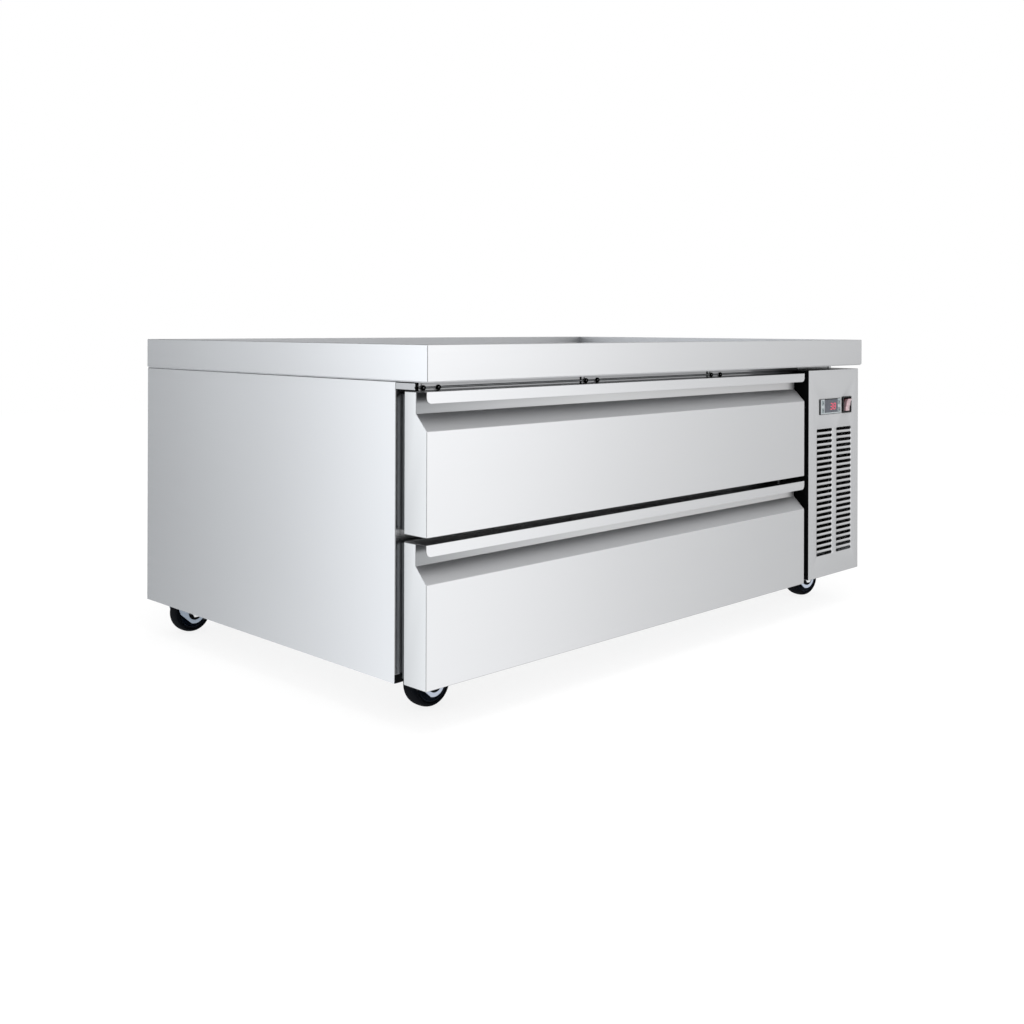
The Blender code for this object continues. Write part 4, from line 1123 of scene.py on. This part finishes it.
def drawer_tray(level):
    body = f"{level}_drawer"
    low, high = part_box(f"{body}_box")
    left, right = low.x + slide_room, high.x - slide_room
    shape = block((left, low.y, low.z), (right, high.y, high.z))
    bmesh.ops.delete(shape, geom=faces_towards(shape, (0, 0, 1)), context="FACES_ONLY")
    round_edges(shape, tray_corner, 6, upright_edges(shape))
    floor_edges = [
        edge for edge in shape.edges if all(vert.co.z < low.z + sliver for vert in edge.verts)
    ]
    round_edges(shape, tray_corner / 2, 4, floor_edges)
    rim = [edge for edge in shape.edges if edge.is_boundary]
    folded = verts_of(bmesh.ops.extrude_edge_only(shape, edges=rim)["geom"])
    middle = Vector(((left + right) / 2, (low.y + high.y) / 2, 0))
    for vert in folded:
        inwards = Vector((middle.x - vert.co.x, middle.y - vert.co.y, 0))
        vert.co.x += math.copysign(sheet, inwards.x)
        vert.co.y += math.copysign(sheet, inwards.y)
    rim = [edge for edge in shape.edges if edge.is_boundary]
    folded = verts_of(bmesh.ops.extrude_edge_only(shape, edges=rim)["geom"])
    bmesh.ops.translate(shape, vec=(0, 0, -rim_fold), verts=folded)
    bmesh.ops.recalc_face_normals(shape, faces=shape.faces)
    dress(f"{body}_tray", shape, body, (mill_steel,), [f"{body}_box"], sheet / 2)


for level_name in ("upper", "lower"):
    drawer_tray(level_name)

# %% [markdown]
# ## Drawer slides
# The slide members on a tray's sides are rolled channels, with a few screws through each into the
# tray. A channel is an open path of three lines, pulled along Y, rounded at its two bends and made
# solid. The members that stay in the cabinet keep their plain shapes.

# %% Drawer slides
slide_stock = 0.0015
slide_half = 0.016
slide_drop = 0.060
slide_start = -0.3220
slide_length = 0.560
slide_screw_radius = 0.0032
slide_screw_places = (0.04, 0.2, 0.36, 0.52)


def inner_slides(level):
    body = f"{level}_drawer"
    low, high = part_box(f"{body}_box")
    members = []
    centre = high.z - slide_drop
    flat = slide_screw_radius * 0.7
    for side, web in ((1, low.x), (-1, high.x)):
        wall = web + side * slide_room
        path = [(wall, centre + slide_half), (web, centre + slide_half)]
        path += [(web, centre - slide_half), (wall, centre - slide_half)]
        channel = strip(path, "Y", slide_start, slide_start + slide_length)
        round_edges(channel, bend, 3)
        bmesh.ops.solidify(channel, geom=channel.faces[:], thickness=-side * slide_stock)
        bmesh.ops.recalc_face_normals(channel, faces=channel.faces)
        members.append(channel)
        head = [(0, 0), (slide_screw_radius, 0), (flat, side * sheet), (0, side * sheet)]
        for place in slide_screw_places:
            spot = (web + side * slide_stock, slide_start + place, centre)
            members.append(turned(head, "X", spot, 16))
    dress(f"{body}_inner_slides", gather(*members), body, (bright_zinc,))


for level_name in ("upper", "lower"):
    inner_slides(level_name)
    for side_name in ("left", "right"):
        finish_node((bright_zinc,), f"{level_name}_{side_name}_fixed_slide")
        finish_node((bright_zinc,), f"{level_name}_{side_name}_middle_slide")

# %% [markdown]
# ## The top rail and its brackets
# A narrow rail closes the space under the apron. A groove runs along it with a strip laid in, and
# a black upright strip of painted shade stands beside two of its brackets. The rail's section is a
# closed outline, pulled along X, and thin black strips are painted shade in the gaps round its end.

# %% Top rail
rail_sag = 0.0012
groove_rise = 0.0030
groove_height = 0.0028
groove_depth = 0.0012
rail_bar_width = 0.0042
rail_bar_offset = 0.0257
rail_shift = -0.0033
rail_edge = 0.0003
corner_strip = 0.0045
corner_proud = 12 * sliver
bar_proud = 4 * sliver
bracket_stock = 0.0008


def top_rail():
    low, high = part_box("top_rail")
    bottom = low.z - rail_sag
    groove = (bottom + groove_rise, bottom + groove_rise + groove_height)
    outline = [
        (high.y, bottom),
        (low.y, bottom),
        (low.y, groove[0]),
        (low.y + groove_depth, groove[0]),
        (low.y + groove_depth, groove[1]),
        (low.y, groove[1]),
        (low.y, high.z),
        (high.y, high.z),
    ]
    shape = round_edges(prism(outline, "X", low.x, high.x), rail_edge, 2)
    for face in faces_towards(shape, (-1, 0, 0)):
        face.material_index = 1
    finish = (rail_steel_painted_shade, rail_end_steel_painted_shade)
    dress("top_rail_section", shape, "cabinet", finish, ["top_rail"])
    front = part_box("rail_bracket_1")[1].y - bracket_stock - sliver
    insert = block((low.x, front, groove[0]), (high.x, low.y + 2 * groove_depth, groove[1]))
    dress("top_rail_insert", insert, "cabinet", (insert_steel_painted_shade,))
    corner = (low.x - sliver, low.y - corner_proud, bottom)
    strips = [block(corner, (low.x + corner_strip, low.y + sheet, high.z))]
    for above, below in ((high.z, high.z - sheet), (bottom + sheet, bottom)):
        strips.append(block((low.x - sliver, low.y, below), (low.x + sheet, high.y, above)))
    for number in (2, 3):
        bracket_low, bracket_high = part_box(f"rail_bracket_{number}")
        bar = (bracket_low.x + bracket_high.x) / 2 - rail_bar_offset + rail_shift
        start = (bar - rail_bar_width / 2, low.y - bar_proud, bottom)
        strips.append(block(start, (bar + rail_bar_width / 2, low.y + sheet, high.z)))
    dress("top_rail_strips", gather(*strips), "cabinet", (painted_shade_black,))


top_rail()

# %% [markdown]
# ## The rail's brackets
# Three small plates fix the rail, each with two pan head screws. From the front a screw is a black
# ring round a light middle with a cross let into it; the black of the ring and the cross is painted
# shade in the hole and the recess. Ring and middle are turned profiles, and the cross is two thin
# black bars, which is all that shows at this size.

# %% Rail brackets
bracket_screw_pitch = 0.0288
screw_ring = 0.0039
screw_core = 0.0020
screw_sink = 0.0023
screw_rise = 0.0026
cross_length = 0.0026
cross_width = 0.0006


def cross_recess(centre, depth):
    """A small cross of painted shade, drawn as two thin blocks that face -Y."""
    bars = []
    for long_x, long_z in ((cross_length, cross_width), (cross_width, cross_length)):
        reach = Vector((long_x / 2, depth, long_z / 2))
        bars.append(block(Vector(centre) - reach, Vector(centre) + reach))
    return bars


def rail_bracket(number):
    node = f"rail_bracket_{number}"
    low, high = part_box(node)
    face = high.y - bracket_stock
    plate = soft_block((low.x, face, low.z), high, bracket_stock / 3)
    middle = (low + high) / 2
    rings = []
    centres = []
    crosses = []
    for side in (-1, 1):
        x = middle.x + rail_shift + side * bracket_screw_pitch / 2
        spot = (x, face, middle.z - screw_sink)
        ring = [
            (screw_core, 0),
            (screw_ring, 0),
            (screw_ring, -screw_rise / 2),
            (screw_ring * 0.85, -screw_rise),
            (screw_core, -screw_rise),
        ]
        rings.append(turned(ring, "Y", spot, 24, closed=True))
        core = [(0, 0), (screw_core, 0), (screw_core, -screw_rise * 0.8), (0, -screw_rise)]
        centres.append(turned(core, "Y", spot, 24))
        crosses += cross_recess((spot[0], face - screw_rise, spot[2]), sliver)
    dress(f"{node}_plate", plate, "cabinet", (rail_steel_painted_shade,), [node])
    dress(f"{node}_screw_rings", gather(*rings), "cabinet", (painted_shade_black,))
    heads = gather(gather(*centres), *crosses, number=1)
    dress(f"{node}_screws", heads, "cabinet", (screw_steel, black_abs))


for bracket_number in (1, 2, 3):
    rail_bracket(bracket_number)

# %% [markdown]
# ## The machine panel
# Two columns of punched louvres let air into the condenser. The front sheet is filled between an
# outer loop and all the slots at once, and the sides are folded back from it. Drawing the slots
# as true outlines keeps their round ends clean at any distance. The side next to the drawers is
# painted black, as shade in the gap beside them.

# %% Machine panel
louvre_columns = 2
louvre_left = 0.0305
louvre_column_pitch = 0.078
louvre_rows = 23
louvre_drop = 0.1245
louvre_pitch = 0.01155
louvre_length = 0.061
louvre_height = 0.0067
panel_margin = 0.008
bezel_left, bezel_drop, bezel_width, bezel_height = 0.0410, 0.060, 0.0835, 0.032
switch_left, switch_drop, switch_width, switch_height = 0.1335, 0.058, 0.034, 0.0345
case_margin = 0.002
painted_shade_finish = 2


def draw_loop(shape, points, y):
    """A closed loop of edges in the plane at y."""
    corners = [shape.verts.new((x, y, z)) for x, z in points]
    return [shape.edges.new(pair) for pair in zip(corners, corners[1:] + corners[:1])]


def machine_panel():
    low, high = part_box("machine_panel")
    shape = block(low, high)
    bmesh.ops.delete(shape, geom=faces_towards(shape, (0, 1, 0)), context="FACES_ONLY")
    front = faces_towards(shape, (0, -1, 0))
    bmesh.ops.inset_region(shape, faces=front, thickness=panel_margin, use_even_offset=True)
    edges = list(front[0].edges)
    bmesh.ops.delete(shape, geom=front, context="FACES_ONLY")
    reach = louvre_length / 2 - louvre_height / 2
    for column in range(louvre_columns):
        middle = low.x + louvre_left + louvre_length / 2 + column * louvre_column_pitch
        for row in range(louvre_rows):
            z = high.z - louvre_drop - row * louvre_pitch
            outline = arc((middle + reach, z), louvre_height / 2, -math.pi / 2, math.pi / 2, 8)
            outline += arc((middle - reach, z), louvre_height / 2, math.pi / 2, math.pi * 1.5, 8)
            edges += draw_loop(shape, outline, low.y)
    for left, drop, width, height in (
        (bezel_left, bezel_drop, bezel_width, bezel_height),
        (switch_left, switch_drop, switch_width, switch_height),
    ):
        x0, x1 = low.x + left + case_margin, low.x + left + width - case_margin
        z0, z1 = high.z - drop - case_margin, high.z - drop - height + case_margin
        edges += draw_loop(shape, [(x0, z0), (x1, z0), (x1, z1), (x0, z1)], low.y)
    forwards = (0, -1, 0)
    bmesh.ops.triangle_fill(
        shape, use_beauty=True, use_dissolve=False, edges=edges, normal=forwards
    )
    bmesh.ops.recalc_face_normals(shape, faces=shape.faces)
    round_edges(shape, bend, 4)
    skin = dress(
        "machine_panel_skin",
        shape,
        "cabinet",
        steel_pair,
        ["machine_panel"],
        sheet,
    )
    skin.data.materials.append(painted_shade_black)
    for face in skin.data.polygons:
        if face.normal.x < -0.95:
            face.material_index = painted_shade_finish


machine_panel()

# %% [markdown]
# ## The display's digits
# The controller shows two red digits. Each is a seven-segment figure: up to seven lit bars, of
# which a few make any digit. A bar is a small soft block, and a shear leans the whole figure.

# %% Digits
film_lift = 0.0003
digit_height = 0.0120
digit_width = 0.0082
digit_gap = 0.0045
digit_left = 0.0397
digit_drop = 0.0008
digit_slant = math.radians(6)
segment_width = 0.0016
digits = "38"
segments_lit = {"3": "abcdg", "8": "abcdefg"}


def segment_blocks(corner, figure):
    """The lit bars of one seven-segment figure whose lower left corner is given."""
    x, y, z = corner
    half = digit_height / 2
    wide, high = digit_width, digit_height
    bars = {
        "a": ((0, high), (wide, high)),
        "b": ((wide, half), (wide, high)),
        "c": ((wide, 0), (wide, half)),
        "d": ((0, 0), (wide, 0)),
        "e": ((0, 0), (0, half)),
        "f": ((0, half), (0, high)),
        "g": ((0, half), (wide, half)),
    }
    made = []
    gap = segment_width / 2
    for name in segments_lit[figure]:
        (x0, z0), (x1, z1) = bars[name]
        flat = z0 == z1
        grow_x, grow_z = (-gap, gap) if flat else (gap, -gap)
        start = (x + x0 - grow_x, y - film_lift, z + z0 - grow_z)
        end = (x + x1 + grow_x, y, z + z1 + grow_z)
        made.append(soft_block(start, end, film_lift / 3))
    slanted = gather(*made)
    shear = Matrix.Identity(4)
    shear[0][2] = math.tan(digit_slant)
    move = Matrix.Translation((x, y, z))
    bmesh.ops.transform(slanted, matrix=move @ shear @ move.inverted(), verts=slanted.verts)
    return slanted


print("digits shown:", digits)

# %% [markdown]
# ## The controller
# A snap-in controller has a black case, a printed film on its face, a smoked window over the
# digits, and small keys beside it. Each is its own layer here, from back to front, as in the real
# one, so that every edge between two materials is a true step.

# %% Controller
window_left = 0.0178
window_width = 0.0530
window_top = 0.0020
window_bottom = 0.0034
film_border = 0.0010
film_left = 0.0035
bezel_edge = 0.0008
case_edge = 0.001


def controller():
    low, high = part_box("controller_body")
    panel_low, panel_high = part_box("machine_panel")
    left = panel_low.x + bezel_left
    top = panel_high.z - bezel_drop
    bottom = top - bezel_height
    behind = panel_low.y - sliver
    start = (left, low.y + 2 * film_lift, bottom)
    bezel = soft_block(start, (left + bezel_width, behind, top), bezel_edge, 3)
    case = soft_block(
        (left + case_margin, behind - sliver, bottom + case_margin),
        (left + bezel_width - case_margin, high.y, top - case_margin),
        case_edge,
    )
    whole = gather(bezel, case)
    dress("controller_case", whole, "cabinet", (black_abs,), ["controller_body"])
    face = low.y
    glass_left, glass_right = left + window_left, left + window_left + window_width
    films = []
    for x0, x1, z0, z1 in (
        (left + film_left, glass_left, bottom + film_border, top - film_border),
        (glass_right, left + bezel_width - film_border, bottom + film_border, top - film_border),
        (glass_left, glass_right, bottom + film_border, bottom + window_bottom),
    ):
        start, end = (x0, face + film_lift, z0), (x1, face + 3 * film_lift, z1)
        films.append(soft_block(start, end, film_lift / 3))
    dress("controller_film", gather(*films), "cabinet", (label_film,))
    glass = soft_block(
        (glass_left + sliver, face + film_lift, bottom + window_bottom + sliver),
        (glass_right - sliver, face + 3 * film_lift, top - window_top),
        film_lift / 3,
    )
    dress("controller_window", glass, "cabinet", (window_glass,))
    middle = (bottom + window_bottom + top - window_top) / 2 - digit_drop
    figures = []
    for place, figure in enumerate(digits):
        x = left + digit_left + place * (digit_width + digit_gap)
        figures.append(segment_blocks((x, face + film_lift, middle - digit_height / 2), figure))
    dress("controller_digits", gather(*figures), "cabinet", (lit_red,))


controller()

# %% [markdown]
# The four keys are moulded caps with a black arrow on each, up on the upper ones and down on the
# lower. Every key rides on its own body, because it can be pushed.

# %% Keys
key_edge = 0.0005
arrow_share = 0.24


def key(name):
    """A small key with an arrow on it."""
    low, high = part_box(name)
    cap = soft_block(low, high, key_edge, 3)
    middle = (low + high) / 2
    reach = (high.x - low.x) * arrow_share
    up = 1 if "upper" in name else -1
    foot = middle.z - up * reach / 2
    mark = [(middle.x - reach, foot), (middle.x + reach, foot), (middle.x, middle.z + up * reach)]
    arrow = prism(mark, "Y", low.y - sliver / 2, low.y + sliver)
    whole = gather(cap, arrow, number=1)
    dress(f"{name}_cap", whole, name, (key_plastic, black_abs), [name])


for side_name in ("left", "right"):
    for level_name in ("upper", "lower"):
        key(f"{side_name}_{level_name}_button")

# %% [markdown]
# ## The power switch
# A rocker switch sits in a black frame with a case behind it. The frame is one section run round
# a rectangle, with a wide slope outside and a narrow one inside. The case is a thin wall round the
# opening and a block further back, which leaves the rocker room to tip.

# %% Switch frame
switch_wall = 0.0022
outer_slope = 0.0010
inner_slope = 0.0006
case_wall = 0.0005
case_length = 0.0112
case_lap = 0.002


def switch():
    low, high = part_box("switch_frame")
    panel_low, panel_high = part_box("machine_panel")
    left = panel_low.x + switch_left
    top = panel_high.z - switch_drop
    outer_low = Vector((left, low.y, top - switch_height))
    outer_high = Vector((left + switch_width, panel_low.y - sliver, top))
    depth = outer_high.y - outer_low.y
    profile = [
        (0, depth),
        (0, outer_slope),
        (outer_slope, 0),
        (switch_wall - inner_slope, 0),
        (switch_wall, inner_slope),
        (switch_wall, depth),
    ]
    ring = picture_frame([(inset, low.y + y) for inset, y in profile], outer_low, outer_high)
    back = soft_block(
        (left + case_margin, low.y + case_length, outer_low.z + case_margin),
        (left + switch_width - case_margin, high.y, top - case_margin),
        case_edge,
    )
    wall = [(0, 0), (case_wall, 0), (case_wall, case_length), (0, case_length)]
    wall = [(inset, outer_high.y - sliver + y - case_lap) for inset, y in wall]
    margin = Vector((case_margin, 0, case_margin))
    walls = picture_frame(wall, outer_low + margin, outer_high - margin)
    whole = gather(ring, back, walls)
    dress("switch_bezel", whole, "cabinet", (black_abs,), ["switch_frame"])


switch()

# %% [markdown]
# The rocker's red cap has two hollow faces that meet in a ridge, so one half is always turned to
# the light and the other away from it. Two arcs drawn one above the other and pulled across give
# that form. It is drawn about its pivot, tipped there, and then moved into the frame.

# %% Rocker
switch_pivot = Vector((0.5565, -0.4014, 0.41925))
rocker_tilt = math.radians(12)
rocker_room = 0.0036
rocker_rise = 0.0010
rocker_front = 0.0053
rocker_hollow = 0.0011
rocker_ridge = 0.0013
rocker_back = 0.0030
rocker_narrows = 0.0012
rocker_edge = 0.0003


def rocker_cap():
    low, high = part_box("rocker")
    half = math.sqrt((switch_height / 2 - rocker_room) ** 2 - rocker_front**2)
    upper, lower = [], []
    for share in evenly(0, 1, 9):
        y = -rocker_front + rocker_ridge * share + rocker_hollow * math.sin(math.pi * share)
        upper.append((y, (half + rocker_rise) * (1 - share)))
        lower.append((y, -half * (1 - share)))
    behind = half - rocker_narrows
    outline = upper + lower[::-1][1:] + [(rocker_back, -behind), (rocker_back, behind)]
    shape = prism(outline, "X", low.x - switch_pivot.x, high.x - switch_pivot.x)
    for face in shape.faces:
        face.material_index = 1 if face.normal.y < -0.5 else 0
    place = Matrix.Translation(switch_pivot) @ Matrix.Rotation(rocker_tilt, 4, "X")
    bmesh.ops.transform(shape, matrix=place, verts=shape.verts)
    finish = (rocker_red, rocker_lens_painted_highlight)
    dress("rocker_cap", shape, "rocker", finish, ["rocker"], eased=rocker_edge)


rocker_cap()

# %% [markdown]
# ## Casters
# Each corner stands on a small swivel caster: a top plate with its bolts, a double ball race, a
# pressed fork whose legs slant back to the axle, and a wheel. Casters are seldom all in line: the
# front right one stands turned a little, so every part of a caster can be turned about its swivel.

# %% Where a caster stands
wheel_radius = 0.0375
caster_trail = 0.015
swivel_turn = {"front_right": math.radians(-12)}
casters = (("front_left", 1), ("front_right", 1), ("rear_left", 1), ("rear_right", -1))


def caster_places(corner, way):
    """The swivel's place and the axle's, before the caster is turned."""
    low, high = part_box(f"{corner}_caster_plate")
    swivel = (low + high) / 2
    return swivel, Vector((swivel.x + way * caster_trail, swivel.y, wheel_radius))


def swing(corner, swivel, shape):
    """Turns a shape about the swivel, as that caster stands in the view."""
    turn = Matrix.Rotation(swivel_turn.get(corner, 0.0), 4, "Z")
    around = Matrix.Translation(swivel) @ turn @ Matrix.Translation(-swivel)
    bmesh.ops.transform(shape, matrix=around, verts=shape.verts)
    return shape


print("casters:", len(casters), "of", 2 * wheel_radius * 1000, "mm")

# %% [markdown]
# The wheel is two turned profiles. The core has a hub, a dished web with a rib and a rim, because
# its rings are what shows. The tread is wrapped round it, with full round shoulders.

# %% Wheels
wheel_half = 0.0155
hub_half = 0.0165
shoulder_rise, shoulder_width = 0.0050, 0.0135
tread_foot = (0.0284, wheel_half - 0.0008)
round_steps = 64
# Radius and half width, from the hub's bore over the web and its rib out to the rim.
core_side = [
    (0.0046, hub_half),
    (0.0085, hub_half),
    (0.0100, hub_half - 0.0010),
    (0.0105, wheel_half - 0.0040),
    (0.0150, wheel_half - 0.0046),
    (0.0158, wheel_half - 0.0034),
    (0.0172, wheel_half - 0.0034),
    (0.0180, wheel_half - 0.0046),
    (0.0250, wheel_half - 0.0040),
    (0.0262, wheel_half - 0.0006),
    (0.0285, wheel_half - 0.0004),
]


def both_sides(side):
    """A profile and its mirror image on the other side of the wheel."""
    return side + [(radius, -place) for radius, place in side[::-1]]


def wheel(corner, way):
    name = f"{corner}_caster_wheel"
    swivel, centre = caster_places(corner, way)
    core = both_sides(core_side)
    middle = swing(corner, swivel, turned(core, "Y", centre, round_steps, closed=True))
    dress(f"{name}_core", middle, name, (caster_core,))
    shoulder = []
    for turn in evenly(math.pi / 2, 0, 9):
        radius = wheel_radius - shoulder_rise * (1 - math.cos(turn))
        shoulder.append((radius, wheel_half - shoulder_width * (1 - math.sin(turn))))
    tread = both_sides([tread_foot] + shoulder)
    tyre = swing(corner, swivel, turned(tread, "Y", centre, round_steps, closed=True))
    dress(f"{name}_tread", tyre, name, (caster_rubber,), [name])


for corner_name, trail_way in casters:
    wheel(corner_name, trail_way)

# %% [markdown]
# The fork is one pressing: a round crown with a leg down each side. A leg is an outline with a
# round eye about the axle, pulled to the thickness of the sheet. A bolt with a hexagonal head and
# nut holds the wheel, with a washer under each, painted black as shade between nut and leg. The
# rear forks are painted darker, as shade under the cabinet.

# %% Forks
nut_radius = 0.0088
nut_reach = 0.0245
washer_radius = 0.0134
washer_hole = 0.0041
washer_stock = 0.0010
washer_dish = 0.0012
axle_radius = 0.004
fork_outer = 0.0195
fork_stock = 0.0025
fork_edge = 0.0005
eye_radius = 0.0205
eye_start, eye_end = -math.pi * 0.62, math.pi * 0.30
leg_back = [(-0.0367, 0.0206), (-0.0300, 0.0008)]
crown_hole = 0.0056
crown_radius = 0.0260
crown_shoulder = 0.0012
crown_foot, crown_foot_rise = 0.0015, 0.0008
hexagon_edge_share = 0.08


def hexagon(centre, radius, axis, start, end):
    """A hexagonal head or nut."""
    outline = arc(centre, radius, 0, math.tau, 6)[:-1]
    return round_edges(prism(outline, axis, start, end), radius * hexagon_edge_share, 2)


def fork(corner, way):
    name = f"{corner}_caster_fork"
    swivel, axle = caster_places(corner, way)
    crown_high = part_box(name)[1].z
    crown_low = crown_high - fork_stock
    crown = [
        (crown_hole, crown_low),
        (crown_radius - crown_foot, crown_low),
        (crown_radius, crown_low + crown_foot_rise),
        (crown_radius, crown_high - crown_shoulder),
        (crown_radius - crown_shoulder, crown_high),
        (crown_hole, crown_high),
    ]
    eye = arc((0, 0), eye_radius, eye_start, eye_end, 12)
    outline = [(axle.x + way * x, axle.z + z) for x, z in leg_back + eye]
    reach = math.sqrt((crown_radius - fork_edge) ** 2 - fork_outer**2)
    outline += [(swivel.x + x, crown_high - 2 * fork_edge) for x in (way * reach, -way * reach)]
    parts = [turned(crown, "Z", (swivel.x, axle.y, 0), closed=True)]
    for side in (-1, 1):
        start, end = side * (fork_outer - fork_stock), side * fork_outer
        leg = prism(outline, "Y", axle.y + min(start, end), axle.y + max(start, end))
        parts.append(round_edges(leg, fork_edge, 2))
    pressed = swing(corner, swivel, gather(*parts))
    plating = bright_zinc if corner.startswith("front") else zinc_painted_shade
    dress(f"{name}_pressing", pressed, name, (plating,), [name])
    washers = []
    bolts = []
    for side in (-1, 1):
        washer = [(washer_hole, 0), (washer_radius, 0)]
        washer += [(washer_radius, side * washer_stock), (washer_hole, side * washer_dish)]
        spot = axle + Vector((0, side * (fork_outer + sliver), 0))
        washers.append(turned(washer, "Y", spot, 32, closed=True))
        faces = [axle.y + side * (fork_outer + washer_dish), axle.y + side * nut_reach]
        bolts.append(hexagon((axle.x, axle.z), nut_radius, "Y", min(faces), max(faces)))
    pin = [(0, -fork_outer), (axle_radius, -fork_outer), (axle_radius, fork_outer), (0, fork_outer)]
    bolts.append(turned(pin, "Y", axle, 24))
    bolt = swing(corner, swivel, gather(*bolts))
    dress(f"{name}_axle_bolt", bolt, name, (screw_steel,))
    both = swing(corner, swivel, gather(*washers))
    dress(f"{name}_washers", both, name, (painted_shade_black,))


for corner_name, trail_way in casters:
    fork(corner_name, trail_way)

# %% [markdown]
# The top plate is bolted to the cabinet's floor with a bolt in each corner. Below it hangs the
# ball race: two thin cups pressed round the balls, which show as steps. They are one turned
# profile, with the swivel's nut under it.

# %% Top plates
plate_stock = 0.003
plate_corner = 0.006
plate_edge = 0.0004
bolt_radius = 0.0045
bolt_inset = 0.009
bolt_height = 0.0028
swivel_nut_height = 0.0025
race_radius = 0.0220
race_steps = ((0.0222, 0.0012), (0.0208, 0.0022), (0.0214, 0.0034), (0.0198, 0.0045))
swivel_pin = 0.0050


def top_plate(corner):
    name = f"{corner}_caster_plate"
    low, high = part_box(name)
    middle = (low + high) / 2
    plate = block((low.x, low.y, high.z - plate_stock), high)
    round_edges(plate, plate_corner, 5, upright_edges(plate))
    round_edges(plate, plate_edge, 2)
    race_top = high.z - plate_stock
    nut_top = low.z + swivel_nut_height
    race = [(0, race_top + sliver), (race_radius, race_top + sliver)]
    race += [(radius, race_top - drop) for radius, drop in race_steps]
    race += [(swivel_pin, race[-1][1]), (swivel_pin, nut_top - sliver), (0, nut_top - sliver)]
    pin = turned(race, "Z", (middle.x, middle.y, 0))
    dress(f"{name}_pressing", gather(plate, pin), "cabinet", (bright_zinc,), [name])
    bolts = [hexagon((middle.x, middle.y), nut_radius, "Z", low.z, nut_top)]
    for x in (low.x + bolt_inset, high.x - bolt_inset):
        for y in (low.y + bolt_inset, high.y - bolt_inset):
            head = (race_top - bolt_height, race_top - sliver)
            bolts.append(hexagon((x, y), bolt_radius, "Z", *head))
    dress(f"{name}_bolts", gather(*bolts), "cabinet", (screw_steel,))


for corner_name, _ in casters:
    top_plate(corner_name)

# %% [markdown]
# ## The back sheet's screws
# The back is one sheet, screwed on round its edge so that the machinery can be reached. The same
# small pan head is made once for each place: a turned dome with a cross let into it, whose black
# is painted shade in the recess.

# %% Back screws
back_screw_radius = 0.0042
back_screw_rise = 0.0016
back_screw_inset = 0.016
back_screw_columns = 5
back_screw_rows = 3


def back_screws():
    low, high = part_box("back_panel")
    dome = [
        (0, back_screw_rise),
        (back_screw_radius * 0.6, back_screw_rise * 0.9),
        (back_screw_radius * 0.92, back_screw_rise * 0.5),
        (back_screw_radius, 0),
        (0, -sliver),
    ]
    columns = evenly(low.x + back_screw_inset, high.x - back_screw_inset, back_screw_columns)
    rows = evenly(low.z + back_screw_inset, high.z - back_screw_inset, back_screw_rows)
    heads = []
    crosses = []
    for x in columns:
        for z in rows:
            if x in (columns[0], columns[-1]) or z in (rows[0], rows[-1]):
                heads.append(turned(dome, "Y", (x, high.y, z), 20))
                crosses += cross_recess((x, high.y + back_screw_rise, z), sliver / 2)
    whole = gather(gather(*heads), *crosses, number=1)
    dress("back_panel_screws", whole, "cabinet", (screw_steel, black_abs))


back_screws()

# %% [markdown]
# ## The machinery
# The condensing unit is hidden behind the louvres and the back sheet, and shows only as a dark
# texture. It still gets its real finishes: enamel on the compressor and the motor, nylon on the
# fans, copper on the evaporator, and black powder paint on the condenser and its shroud.

# %% Machinery
finish_node((copper,), "evaporator_coil")
finish_node((sheet_paint,), "fan_shroud", "condenser_coil")
finish_node((enamel,), "compressor", "fan_motor")
finish_node((fan_nylon,), "condenser_fan", "evaporator_fan")
finish_node((black_abs,), "cable_gland")
print("finishes in use:", sum(1 for material in bpy.data.materials if material.users))
